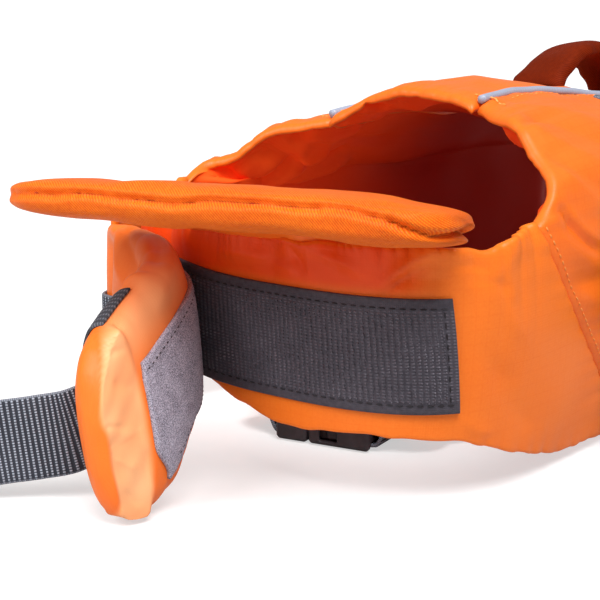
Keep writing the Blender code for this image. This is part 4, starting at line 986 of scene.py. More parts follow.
RIGHT_FOLDS = (
    (-26.0, 98.0, 2.0, 116.0, 2.2, -1.7), (-20.0, 92.0, 8.0, 108.0, 3.0, 1.4),
    (-16.0, 80.0, 24.0, 100.0, 4.0, -1.2), (-10.0, 60.0, 34.0, 92.0, 6.0, 1.2),
    (-2.0, 50.0, 40.0, 70.0, 4.5, -1.1), (-20.0, 122.0, 40.0, 140.0, 6.0, 0.9),
    (40.0, 60.0, 90.0, 90.0, 8.0, -1.1), (60.0, 150.0, 84.0, 104.0, 5.0, 1.1),
    (96.0, 120.0, 140.0, 84.0, 7.0, -1.2), (130.0, 70.0, 176.0, 116.0, 7.0, 1.2),
    (150.0, 150.0, 200.0, 134.0, 5.0, -1.1), (186.0, 60.0, 226.0, 94.0, 6.0, 1.1),
    (204.0, 158.0, 234.0, 126.0, 4.5, -1.0), (0.0, 146.0, 52.0, 164.0, 6.0, 0.8),
)

# Folds of the inner cloth near the neck opening; heights above 0 stand into the hollow
LEFT_LINING = (
    (-10.0, 50.0, 30.0, 60.0, 4.0, 2.0), (-18.0, 80.0, 20.0, 84.0, 4.0, -2.0),
    (-24.0, 92.0, 16.0, 98.0, 5.0, 2.0),
)
RIGHT_LINING = (
    (-31.0, 99.0, -9.0, 84.0, 5.0, 3.4), (-9.0, 95.0, 3.0, 63.0, 2.4, -3.2),
    (-3.0, 90.0, 12.0, 66.0, 4.5, 2.2), (-4.0, 57.0, -5.0, 41.0, 2.0, -3.0),
    (2.0, 67.0, 16.0, 54.0, 3.2, 3.0), (8.0, 72.0, 34.0, 64.0, 2.6, -2.6),
    (10.0, 84.0, 46.0, 78.0, 6.0, 2.4), (2.0, 48.0, 30.0, 46.0, 3.5, 2.6),
    (14.0, 98.0, 60.0, 92.0, 5.0, -2.2), (24.0, 54.0, 66.0, 60.0, 4.0, -2.0),
    (50.0, 70.0, 110.0, 76.0, 8.0, 1.8), (70.0, 96.0, 130.0, 104.0, 6.0, -1.6),
)


def side_front_station(girth):
    """Front edge of a side panel: the neck edge, then the chest seam."""
    return np.where(girth < SEAM_TOP_GIRTH, NECK_EDGE.at("station", girth), CHEST_SEAM.at("station", girth))


def side_grid(parts, shares):
    """Girth and station of a side panel's grid, and the distances to its edges."""
    first = PIPING_LINE.at("girth", 0.0) + PIPING_ROOM
    part = np.asarray(parts)[:, None]
    share = np.asarray(shares)[None, :]
    top = PIPING_LINE.at("girth", share) + PIPING_ROOM
    girth = top + part * (FLOOR_GIRTH - top)
    front_girth = first + part * (FLOOR_GIRTH - first)
    front = side_front_station(front_girth)
    rear = REAR_EDGE.at("station", front_girth)
    station = front + share * (rear - front)
    gaps = {
        "top": girth - top,
        "front": (station - front) * np.where(front_girth < SEAM_TOP_GIRTH, 0.95, 0.7),
        "rear": rear - station,
        "floor": FLOOR_GIRTH - girth,
        "front_girth": front_girth + 0 * share,
    }
    return girth, station, gaps


# Puffs along the neck edge and the piping: pitch, depth, reach and shift of the seed; below them, what
# differs between the wearer's left side (1) and right side (-1)
NECK_PUFFS = ((3.1, 0.28, 5.0, 7.0), (11.0, 0.9, 13.0, 1.0), (19.0, 1.0, 26.0, 5.0))
PIPING_PUFFS = ((9.0, 0.55, 7.0, 2.0), (23.0, 0.6, 20.0, 6.0))
GATHER_SHARE = {1: 0.9, -1: 0.55}
SIDE_SEED = {1: 1.0, -1: 2.6}
SIDE_WAVE_SEED = {1: 11, -1: 12}
LINING_WAVE_SEED = {1: 21, -1: 22}
SIDE_FOLDS = {1: LEFT_FOLDS, -1: RIGHT_FOLDS}
SIDE_LINING = {1: LEFT_LINING, -1: RIGHT_LINING}
LINING_FOLD = 1.35
LEAST_DEPTH = 1.2


def side_surfaces(side, parts, shares):
    """Outer and inner points of a side panel with its folds, and its map."""
    girth, station, gaps = side_grid(parts, shares)
    neck = gaps["front"]
    neck_girth = gaps["front_girth"]
    form = arch_point(side * girth, station)
    normals = grid_normals(form, BODY_MIDDLE)
    on_seam = smooth((neck_girth - SEAM_TOP_GIRTH) / 8.0 + 1.0)
    front_dip = FREE_EDGE_DIP + (SIDE_SEAM_DIP - FREE_EDGE_DIP) * on_seam
    dip = (PIPING_SEAM_DIP * (1 - rise(gaps["top"], PUFF_RISE))
           + front_dip * (1 - rise(neck, PUFF_RISE))
           + FREE_EDGE_DIP * (1 - rise(gaps["rear"], PUFF_RISE)))
    gather = (GATHER_DEPTH * GATHER_SHARE[side] * (1 - on_seam) * np.exp(-neck / GATHER_FADE)
              * np.cos(FULL_TURN * neck_girth / GATHER_PITCH))
    foam = np.minimum.reduce([smooth(gaps["top"] / FOAM_TAPER), smooth(neck / FRONT_TAPER),
                              smooth(gaps["rear"] / FOAM_TAPER)])
    floor_share = (FLOOR_FOAM - EDGE_CLOTH) / (SIDE_FOAM - EDGE_CLOTH)
    foam = foam * (floor_share + (1 - floor_share) * rise(gaps["floor"], 30.0))
    depth = dip + EDGE_CLOTH + (SIDE_FOAM - EDGE_CLOTH - dip) * foam
    seed = SIDE_SEED[side]
    still = smooth(gaps["floor"] / 12.0)
    drawn_in = 1 - smooth(neck / 5.0)
    folds = (puckers(neck_girth, neck, RIM_PUCKER_PITCH, 0.6, 6.5, seed) * (1 - 0.45 * on_seam)
             + pucker_rows(neck_girth, neck, seed, NECK_PUFFS)
             + pucker_rows(station, gaps["top"], seed, PIPING_PUFFS)
             + creases(station, girth, SIDE_FOLDS[side])
             + waves(station, girth, 46.0, SIDE_WAVE_SEED[side]) * rise(neck, 20.0))
    folds = folds * (0.22 + 0.78 * smooth((neck - 0.5) / 7.0))
    lining = (puckers(neck_girth, neck, LINING_PUCKER_PITCH, 2.6, 17.0, seed + 3.0)
              * (1 - 0.4 * on_seam) * (1 - drawn_in)
              + puckers(neck_girth, neck, 6.5, 1.3, 7.0, seed + 4.0) * (1 - on_seam)
              + LINING_FOLD * creases(station, girth, SIDE_LINING[side])
              + 1.2 * waves(station, girth, 40.0, LINING_WAVE_SEED[side]) * rise(neck, 12.0))
    lining = lining * (0.15 + 0.85 * smooth(neck / 7.0))
    lining = np.maximum(lining, LEAST_DEPTH - depth)
    outer = form + normals * (gather - dip + still * folds)[..., None]
    inner = form - normals * (depth - gather + still * lining)[..., None]
    outer[-1, :, 2] = 0.0
    inner[-1, :, 2] = 0.0
    return outer, inner, np.stack((station, girth), axis=-1)


def side_panel(name, side):
    """Cloth-covered foam side panel from the piping down to the floor, where its hem is pressed flat."""
    parts = np.linspace(0.0, 1.0, SIDE_ROWS)
    outer, inner, chart = side_surfaces(side, parts, crowd(SIDE_COLUMNS, 0.33, 0.55))
    panel = shell(name + "_cloth", outer, inner, chart, PACK_CLOTH, [name], roll=0.9,
                  lining=True)
    for vertex in panel.data.vertices:
        vertex.co.z = max(vertex.co.z, 0.0)


side_panel("side_panel_left", 1)
side_panel("side_panel_right", -1)

# %% Back panel
BACK_ROWS = 66
BACK_COLUMNS = 140
PIPING_SETBACK = 4.0
REAR_SETBACK = 3.0

# Folds of the back and of its inner cloth: station and girth of both ends, half width, height
BACK_FOLDS = (
    (10.0, -28.0, 34.0, 10.0, 5.0, -0.9), (16.0, 22.0, 52.0, -6.0, 6.0, 0.9),
    (60.0, -30.0, 84.0, 6.0, 5.0, -1.0), (70.0, 30.0, 92.0, 4.0, 5.0, 1.0),
    (168.0, -4.0, 200.0, -32.0, 5.0, -1.1), (168.0, 6.0, 206.0, 34.0, 5.0, 1.1),
    (196.0, -30.0, 232.0, 12.0, 6.0, -0.9),
)
BACK_LINING = (
    (-2.0, -19.5, 9.0, -18.5, 2.2, -3.0), (-3.0, -30.0, 30.0, -36.0, 4.5, 2.4),
    (0.0, -8.0, 26.0, -14.0, 5.0, 2.2), (0.0, 6.0, 16.0, 8.0, 2.5, -2.4), (0.0, 20.0, 24.0, 16.0, 5.0, 2.2),
)

# Puffs of the back's three kinds of edge: pitch, depth, reach and seed
BACK_NECK_PUFFS = ((6.5, 0.7, 6.0, 0.4), (14.0, 1.2, 14.0, 1.9))
BACK_PIPING_PUFFS = ((10.0, 0.5, 6.0, 0.8), (24.0, 0.5, 16.0, 3.8))
BACK_REAR_PUFFS = ((12.0, 0.6, 9.0, 2.9),)


def back_surfaces(places, shares):
    """Outer and inner points of the back panel with its folds, and its map."""
    place = np.asarray(places)[:, None]
    share = np.asarray(shares)[None, :]
    half = PIPING_LINE.at("girth", share) - PIPING_ROOM
    girth = place * half
    front = -PIPING_SETBACK * place ** 2
    rear = REAR_STATION - REAR_SETBACK * place ** 2
    station = front + share * (rear - front)
    form = arch_point(girth, station)
    normals = grid_normals(form, BODY_MIDDLE)
    side_gap = half - np.abs(girth)
    front_gap = station - front
    dip = (PIPING_SEAM_DIP * (1 - rise(side_gap, PUFF_RISE))
           + FREE_EDGE_DIP * (1 - rise(front_gap, PUFF_RISE))
           + FREE_EDGE_DIP * (1 - rise(rear - station, PUFF_RISE)))
    foam = np.minimum.reduce([smooth(gap / FOAM_TAPER) for gap in (side_gap, front_gap, rear - station)])
    depth = dip + EDGE_CLOTH + (BACK_FOAM - EDGE_CLOTH - dip) * foam
    folds = (pucker_rows(girth, front_gap, 0.0, BACK_NECK_PUFFS)
             + pucker_rows(station, side_gap, 0.0, BACK_PIPING_PUFFS) * smooth(front_gap / 6.0)
             + pucker_rows(girth, rear - station, 0.0, BACK_REAR_PUFFS) + creases(station, girth, BACK_FOLDS)
             + 0.8 * waves(station, girth, 50.0, 31) * rise(front_gap, 20.0))
    folds = folds * (0.3 + 0.7 * smooth((front_gap - 0.5) / 7.0))
    lining = (puckers(girth, front_gap, 12.0, 2.0, 12.0, 0.9) * smooth(front_gap / 4.0)
              + creases(station, girth, BACK_LINING) + waves(station, girth, 34.0, 32))
    lining = np.maximum(lining, LEAST_DEPTH - depth)
    outer = form + normals * (folds - dip)[..., None]
    inner = form - normals * (depth + lining)[..., None]
    return outer, inner, np.stack((station + 0 * girth, girth), axis=-1)


def back_panel():
    """Cloth-covered foam back panel between the two pipings."""
    outer, inner, chart = back_surfaces(np.linspace(-1.0, 1.0, BACK_ROWS), crowd(BACK_COLUMNS, 0.25, 0.45))
    panel = shell("back_panel_cloth", outer, inner, chart, PACK_CLOTH, ["back_panel"],
                  lining=True)


back_panel()

# %% Piping
PIPING_SIDES = 14
TAPE_RADIUS = 1.65


def tube(name, places, radius, sides, finishes, replaced):
    """Round tube through places."""
    tangents = unit(np.gradient(places, axis=0))
    across = unit(np.cross(tangents, np.array((0.0, 0.3, 1.0))))
    upward = np.cross(across, tangents)
    angle = np.arange(sides) * FULL_TURN / sides
    rings = (places[:, None] + radius * (across[:, None] * np.cos(angle)[None, :, None]
                                         + upward[:, None] * np.sin(angle)[None, :, None]))
    runs = walked_along(places)
    return ringed(name, rings, runs, angle * radius, finishes, replaced)


def piping(name, side):
    """Reflective piping in the seam beside the back panel."""
    share = np.linspace(0.0, 1.0, 190)
    girth = PIPING_LINE.at("girth", share)
    front = NECK_EDGE.at("station", girth[0])
    rear = REAR_EDGE.at("station", PIPING_LINE.at("girth", 0.0))
    station = front + share * (rear - front)
    form = arch_point(side * girth, station)
    near = arch_point(side * (girth + 1.0), station)
    outward = unit(np.cross(unit(np.gradient(form, axis=0)), near - form))
    outward = outward * np.sign(outward[:, 2:3])
    lift = 0.15 * np.sin(station / 7.0) + 0.1 * np.sin(station / 3.1 + side)
    places = form - outward * (PIPING_SEAM_DIP - PIPING_RADIUS + 0.4 - lift[:, None])
    tube(name + "_tape", places, TAPE_RADIUS, PIPING_SIDES, REFLECTIVE, [name])


piping("piping_left", 1)
piping("piping_right", -1)

# %% [markdown]
# ## Chest bands
# Two thin bands of doubled ripstop close the chest.  Their upper edge is the gathered casing of the neck
# opening, so it stands in small puffs, and short folds run down from it.

# %% Bands
BAND_FOOT = 4.0
SEAM_TOP_HEIGHT = float(PROFILE.at("height", SEAM_TOP_GIRTH))
CASING_HEIGHT = 9.0
CASING_SWELL = 0.7
BAND_GATHER_PITCH = 27.0
BAND_SEAM_DIP = 2.0
BAND_DIP_REACH = 40.0
LEFT_BAND = Table(("arc", "bottom", "top"), (
    (-64.0, 40.0, 88.0), (-40.0, 39.0, 88.5), (-18.0, 36.0, 89.0), (-5.0, 31.0, 89.0), (5.0, 27.8, 89.0),
    (17.0, 24.8, 89.0), (30.0, 24.8, 89.2), (50.0, 26.0, 89.5), (76.0, 25.2, 89.2), (88.0, 24.0, 88.8),
    (102.0, 21.2, 88.2), (110.0, 19.4, 90.2), (122.0, 16.6, 93.0), (143.0, 12.0, 94.0), (205.0, 4.0, 94.0)))
RIGHT_BAND = Table(("arc", "bottom", "top"), (
    (60.0, 33.0, 89.0), (90.0, 27.0, 89.0), (110.0, 21.0, 90.5), (124.0, 16.6, 93.0), (205.0, 4.0, 94.0)))
LEFT_BAND_END = -60.0
RIGHT_BAND_END = 70.0
LAP_START = -8.0
LAP_REACH = 40.0
LAP_INSET = 5.0
OUTSET_START = 112.0
OUTSET_REACH = 40.0
FLAP_OUTSET = 7.0
BAND_ROWS = 60
FLAP_ROOM = 100.0

# Folds of each band: arc and height of both ends, half width and height in millimetres
LEFT_BAND_FOLDS = (
    (58.0, 77.0, 77.0, 89.5, 1.9, 1.5), (61.0, 76.0, 79.0, 87.0, 1.7, -1.5),
    (77.0, 84.5, 98.0, 82.0, 2.2, -1.0), (80.0, 79.0, 104.0, 79.0, 3.0, 0.7),
    (64.0, 78.5, 84.0, 80.5, 2.4, -1.0), (84.0, 80.5, 106.0, 75.0, 2.6, -1.0),
    (108.0, 70.0, 104.0, 87.0, 2.6, 0.9),
    (116.0, 56.0, 96.0, 82.0, 5.0, 0.7), (112.0, 40.0, 92.0, 60.0, 5.0, -0.6),
    (10.0, 80.0, 40.0, 84.0, 3.0, -1.2), (-10.0, 82.0, 30.0, 78.0, 3.0, 1.0),
    (34.0, 86.0, 56.0, 80.0, 2.4, 1.0), (24.0, 88.0, 30.0, 79.0, 1.8, -1.0),
    (130.0, 20.0, 96.0, 52.0, 6.0, -0.7), (70.0, 29.0, 20.0, 30.0, 3.0, 0.5),
    (104.0, 24.0, 88.0, 32.0, 3.0, 0.7),
)
RIGHT_BAND_FOLDS = (
    (72.0, 40.0, 75.0, 86.0, 2.6, -1.3), (79.0, 46.0, 82.0, 88.0, 2.6, 1.2),
    (86.0, 62.0, 90.0, 88.0, 2.2, -1.2), (97.0, 58.0, 104.0, 88.0, 2.8, 1.1),
    (112.0, 40.0, 104.0, 84.0, 4.0, -0.9), (128.0, 22.0, 100.0, 54.0, 6.0, 0.8),
    (130.0, 70.0, 112.0, 86.0, 3.0, 0.9),
)
BAND_FOLDS = {1: LEFT_BAND_FOLDS, -1: RIGHT_BAND_FOLDS}
BAND_WAVE_SEED = {1: 41, -1: 42}
BAND_SEED = {1: 0.5, -1: 4.2}
CASING_PUFFS = ((4.4, 0.5, 4.5, 0.0), (12.0, 0.7, 15.0, 1.0))
BAND_SEAM_PUFFS = ((8.0, 0.5, 9.0, 2.0),)
BAND_HEM_PUFFS = ((9.0, 0.35, 5.0, 0.0),)

# A band's rim and hem wander a little up and down
EDGE_WOBBLE_FADE = 3.0

# The right band's corner is pressed in behind the flap
CORNER_PRESS = 4.8
CORNER_ARC = 88.0
CORNER_REACH = 20.0

# The left band's rim sags where the chin pad lies over it
RIM_SAG = 4.2
RIM_SAG_ARC = 97.0
RIM_SAG_REACH = 15.0
RIM_SAG_FADE = 18.0

# Painted shade: the casing of the left band, under the chin pad, is coloured a darker red for the pad's shade
CASING_SHADE = 17.0
CASING_PAINTED_SHADE = 0.85
CASING_PAINTED_SHADE_ARC = 82.0


def band_gather(arc):
    """How far the gathered upper edge of a band stands out."""
    return GATHER_DEPTH * np.cos(FULL_TURN * arc / BAND_GATHER_PITCH)


def band_seam_dip(seam_gap):
    """How far a band sinks towards its chest seam."""
    return BAND_SEAM_DIP * (1 - smooth(seam_gap / BAND_DIP_REACH))


def band_face(side, arc, height, top):
    """Outer points and normals of a chest band, before its seam dip."""
    form = chest_point(side * arc, height)
    normals = grid_normals(form, BODY_MIDDLE)
    if side > 0:
        offset = -LAP_INSET * smooth((LAP_START - arc) / LAP_REACH)
    else:
        offset = (FLAP_OUTSET * smooth((OUTSET_START - arc) / OUTSET_REACH)
                  - CORNER_PRESS * hump(arc, CORNER_ARC, CORNER_REACH) * smooth((height - 20.0) / 30.0))
    below = top - height
    gather = band_gather(arc) * (1 - smooth(below / GATHER_FADE))
    return form, normals, offset + gather


def band_grid(table, end, columns):
    """Arc, height and upper edge over a chest band's grid, and the distance from its seam."""
    row = np.linspace(0.0, 1.0, BAND_ROWS)[:, None]
    seam_height = BAND_FOOT + row * (SEAM_TOP_HEIGHT - BAND_FOOT)
    station = CHEST_SEAM.at("station", WALL.at("girth", seam_height)) - CHEST_SEAM_GAP
    start = arc_of_station(station)
    share = np.linspace(0.0, 1.0, columns)[None, :]
    arc = start + share * (end - start)
    body = table.at("bottom", arc) + row * (table.at("top", arc) - table.at("bottom", arc))
    blend = smooth(share / 0.45)
    height = seam_height + (body - seam_height) * blend
    top = SEAM_TOP_HEIGHT + (table.at("top", arc) - SEAM_TOP_HEIGHT) * blend
    bottom = BAND_FOOT + (table.at("bottom", arc) - BAND_FOOT) * blend
    return arc, height, top, bottom, start - arc


def chest_band(name, side, table, end, columns):
    """Thin doubled band from the chest seam round to the front."""
    arc, height, top, bottom, seam_gap = band_grid(table, end, columns)
    ripple = 0.35 * np.sin(arc / 2.7 + 0.7 * np.sin(arc / 5.0)) + 0.3 * np.sin(arc / 6.3)
    rim = np.exp(-(top - height) / EDGE_WOBBLE_FADE)
    hem = np.exp(-(height - bottom) / EDGE_WOBBLE_FADE)
    if side > 0:
        sag = RIM_SAG * hump(arc, RIM_SAG_ARC, RIM_SAG_REACH)
        height = height - sag * np.exp(-(top - height) / RIM_SAG_FADE)
    form, normals, offset = band_face(side, arc, height + ripple * (rim + 0.7 * hem), top)
    offset = offset - band_seam_dip(seam_gap)
    swell_out = CASING_SWELL * (1 - smooth((top - height) / CASING_HEIGHT - 0.4))
    seed = BAND_SEED[side]
    folds = (pucker_rows(arc, top - height, seed, CASING_PUFFS)
             + pucker_rows(height, seam_gap, seed, BAND_SEAM_PUFFS)
             + pucker_rows(arc, height - bottom, seed, BAND_HEM_PUFFS)
             + creases(arc, height, BAND_FOLDS[side]) + 0.7 * waves(arc, height, 38.0, BAND_WAVE_SEED[side]))
    if side > 0:
        folds = folds * (1 - 0.8 * smooth((FLAP_ROOM - np.abs(arc)) / 20.0) * smooth((70.0 - height) / 10.0))
    outer = form + normals * (offset + swell_out + folds)[..., None]
    inner = form + normals * (offset - swell_out - BAND_CLOTH + np.minimum(folds, 0.6))[..., None]
    band = shell(name + "_cloth", outer, inner, np.stack((arc, height), axis=-1), RIPSTOP, [name])
    # Painted shade: the casing under the chin pad is marked to take the band's dark red colour.
    casing = (smooth((height - top + CASING_SHADE) / 6.0) * smooth((CASING_PAINTED_SHADE_ARC - arc) / 26.0)
              * CASING_PAINTED_SHADE).ravel()
    rolled = np.zeros(len(band.data.vertices) - 2 * casing.size)
    keep_on_points(band.data, "pale", np.concatenate((casing, casing, rolled)))


chest_band("chest_band_left", 1, LEFT_BAND, LEFT_BAND_END, 230)
chest_band("chest_band_right", -1, RIGHT_BAND, RIGHT_BAND_END, 110)

# %% [markdown]
# ## Hook tape and loop tape
# The hook strip is a stiff woven tape, sewn flat, with columns of small hooks.  The loop patch on the
# flap is brushed, so it looks matted.

# %% Hook strip
HOOK_BOTTOM = 34.6
HOOK_TOP = 73.8
HOOK_START = 84.6
HOOK_SLANT = 0.13
HOOK_END = -50.0
HOOK_THICK = 1.2
HOOK_CLIMB = 3.0
HOOK_MIDDLE = (HOOK_BOTTOM + HOOK_TOP) / 2
HOOK_LENGTH = HOOK_START - HOOK_END
HOOK_COLUMNS = 170
HOOK_ROWS = 44
TAPE_SINK = 0.4


def hook_face(along, across, lift):
    """Points over the left band's face, by distance from the strip's end and from its middle line."""
    height = HOOK_MIDDLE + across
    start = HOOK_START - HOOK_SLANT * across
    arc = start - along * (start - HOOK_END) / HOOK_LENGTH
    height = height + HOOK_CLIMB * smooth((10.0 - arc) / 60.0)
    form, normals, offset = band_face(1, arc, height, height + 100.0)
    station = CHEST_SEAM.at("station", WALL.at("girth", height))
    seam_dip = band_seam_dip(arc_of_station(station) - arc)
    sway = 0.35 * np.sin(along / 15.0) * np.cos(across / 14.0)
    return form + normals * (offset - seam_dip + lift + sway)[..., None]


def hook_strip():
    """Hook tape on the left band, running on under the flap."""
    along, across = np.meshgrid(np.linspace(0.0, HOOK_LENGTH, HOOK_COLUMNS),
                                np.linspace(-1.0, 1.0, HOOK_ROWS) * (HOOK_TOP - HOOK_BOTTOM) / 2)
    outer = hook_face(along, across, TAPE_GAP + HOOK_THICK)
    inner = hook_face(along, across, TAPE_GAP - TAPE_SINK)
    strip = shell("hook_strip_tape", outer, inner, np.stack((along, across), axis=-1), HOOK_TAPE,
                  ["hook_strip"], roll=0.5)


hook_strip()

# %% [markdown]
# ## The padded flap
# The flap is a pillow of foam in pack cloth.  It leaves the right band, bends round the front of the
# chest and hangs open, so its edge faces forward as a face between two soft ridges.  That face and the
# crown are coloured pale: a painted highlight.

# %% Flap form
FLAP = Table(("run", "x", "y", "half_thick", "middle", "half_high", "lean"), (
    (0.0, -68.6, -92.6, 1.7, 57.0, 25.0, 0.0),
    (6.6, -63.0, -96.0, 4.3, 57.0, 28.0, 0.0),
    (15.8, -55.0, -100.6, 7.6, 57.0, 29.5, 0.0),
    (25.6, -46.0, -104.4, 9.4, 57.0, 30.5, 0.0),
    (35.0, -37.0, -107.2, 10.0, 56.5, 31.0, 0.0),
    (43.2, -29.0, -109.0, 10.0, 56.0, 31.0, 0.02),
    (50.1, -22.5, -111.2, 10.0, 54.5, 31.0, 0.05),
    (56.1, -17.5, -114.6, 10.0, 52.5, 31.2, 0.08),
    (62.1, -14.0, -119.5, 10.3, 50.0, 31.5, 0.11),
    (70.2, -11.0, -127.0, 10.6, 45.5, 32.0, 0.13),
    (79.5, -8.5, -136.0, 11.0, 40.0, 32.2, 0.18),
    (88.8, -6.5, -145.0, 11.0, 35.0, 32.4, 0.18),
    (97.0, -5.0, -153.0, 10.4, 31.6, 30.6, 0.18),
    (103.1, -4.0, -159.0, 8.8, 29.4, 26.6, 0.18),
    (107.1, -3.3, -163.0, 6.0, 28.0, 19.5, 0.18),
    (109.6, -3.0, -165.4, 2.6, 27.4, 10.0, 0.18)))
FLAP_LENGTH = 109.6
FLAP_POWER = 2.7
FLAP_SIDES = 132
FLAP_RINGS = 150


def even_angles(half_thick, half_high, power, sides):
    """Angles of a pillow's section that step evenly round it, from the middle of its inner face."""
    angle = np.linspace(0.0, FULL_TURN, 4001)
    x, y = pillow_section(angle, power)
    walked = walked_along(np.column_stack((x * half_thick, y * half_high)))
    return np.interp(np.linspace(0.0, walked[-1], sides, endpoint=False), walked, angle), walked[-1]


def pillow_section(angle, power):
    """Rounded rectangle of half size one."""
    x = np.sign(np.cos(angle)) * np.abs(np.cos(angle)) ** (2 / power)
    y = np.sign(np.sin(angle)) * np.abs(np.sin(angle)) ** (2 / power)
    return x, y


def flap_frame(run):
    """Middle points, inner-face normals and up directions along the flap."""
    middle = np.stack([FLAP.at(column, run) for column in ("x", "y", "middle")], axis=-1)
    ahead = np.stack([FLAP.at(column, run + 0.5) - FLAP.at(column, run - 0.5) for column in ("x", "y")]
                     + [0 * run], axis=-1)
    along = unit(ahead)
    inner = np.stack((-along[..., 1], along[..., 0], 0 * run), axis=-1)
    up = unit(np.array((0.0, 0.0, 1.0)) - inner * FLAP.at("lean", run)[..., None])
    return middle, inner, up


FLAP_ANGLES, FLAP_ROUND = even_angles(10.5, 31.5, FLAP_POWER, FLAP_SIDES)

# Folds of the flap: run and distance round it from the middle of its inner face, half width, height
FLAP_FOLDS = (
    (88.0, 33.0, 101.0, 30.0, 1.3, -1.0), (84.0, 36.0, 92.0, 45.0, 2.0, 1.2),
    (76.0, 34.0, 82.0, 48.0, 1.6, -1.3), (70.0, 36.0, 78.0, 46.0, 1.6, 1.1),
    (98.0, 5.0, 106.0, 10.0, 1.4, -0.7), (92.0, 24.0, 98.0, 12.0, 3.0, -0.6),
    (58.0, 30.0, 76.0, 26.0, 3.5, 1.0), (44.0, 36.0, 66.0, 34.0, 3.0, -1.1),
    (30.0, 40.0, 50.0, 52.0, 3.0, -1.2), (24.0, 44.0, 40.0, 60.0, 3.5, 1.2),
    (16.0, 36.0, 34.0, 40.0, 2.6, -1.0), (52.0, 46.0, 70.0, 58.0, 3.5, 1.0),
    (60.0, 60.0, 90.0, 66.0, 4.0, -1.0), (40.0, 80.0, 70.0, 70.0, 4.0, 0.9),
    (80.0, 78.0, 104.0, 70.0, 3.0, 1.0), (84.0, 96.0, 104.0, 88.0, 3.0, -0.9),
    (50.0, 108.0, 84.0, 112.0, 3.0, 0.8), (88.0, 122.0, 100.0, 132.0, 2.2, -0.8),
)
LOOP_END_RUN = 91.2
FACE_PRESS = 0.9

# The flap's end face, where its cloth turns back: how far it reaches along the flap, by distance round it
FACE_EDGE = Table(("round", "run"), (
    (-60.0, 88.0), (-46.0, 99.0), (-41.0, 102.8), (-39.0, 104.1), (-25.0, 107.1), (-16.0, 108.0),
    (7.2, 108.1), (18.0, 108.7), (23.7, 108.2), (27.6, 106.6), (30.6, 104.0), (34.0, 100.2), (37.6, 95.0),
    (44.0, 88.0), (60.0, 86.0)))
FACE_FOLDS = (
    (96.5, 27.0, 100.5, 31.5, 0.8, -0.7), (107.4, 11.8, 100.6, 3.1, 0.9, -0.6),
    (106.0, -6.0, 99.0, -12.0, 1.2, 0.5), (102.0, 22.0, 96.0, 14.0, 1.6, -0.5),
    (104.0, -20.0, 98.0, -26.0, 1.2, -0.5), (95.0, 2.0, 93.0, -10.0, 1.0, 0.5),
)

# The strap presses the flap's outer face in at the root
ROOT_PRESS = 7.4
ROOT_RUN = 17.0
ROOT_REACH = 9.0

FLAP_WAVE_SEED = 51
FLAP_END_RINGS = 30
FLAP_END_RUN = 100.0
CROWN_ROUND = 29.0
CROWN_REACH = 9.0


def root_part(run):
    """How near a run is to the middle of the flap's root."""
    return hump(run, ROOT_RUN, ROOT_REACH)


def face_way(rings, face):
    """Way across the flat nearest to the marked part of a skin, pointing away from the skin's middle."""
    chosen = rings[face > 0.5]
    centre = chosen.mean(axis=0)
    way = np.linalg.svd(chosen - centre, full_matrices=False)[2][2]
    return way * np.sign(np.dot(centre - rings.reshape(-1, 3).mean(axis=0), way))


def press_flat(rings, face, strength):
    """Press the marked part of a skin towards the flat it lies nearest to."""
    centre = rings[face > 0.5].mean(axis=0)
    way = face_way(rings, face)
    height = (rings - centre) @ way
    return rings - (face * strength * height)[..., None] * way


def flap_surface(run, angle, lift):
    """Points of the flap's skin at a run and an angle, lifted off it."""
    middle, inner, up = flap_frame(run)
    flat, tall = pillow_section(angle, FLAP_POWER)
    half_thick = FLAP.at("half_thick", run)
    half_high = FLAP.at("half_high", run)
    way = unit(inner * (np.sign(flat) * np.abs(flat) ** (FLAP_POWER - 1) / half_thick)[..., None]
               + up * (np.sign(tall) * np.abs(tall) ** (FLAP_POWER - 1) / half_high)[..., None])
    return (middle + inner * (half_thick * flat)[..., None] + up * (half_high * tall)[..., None]
            + way * np.asarray(lift)[..., None])


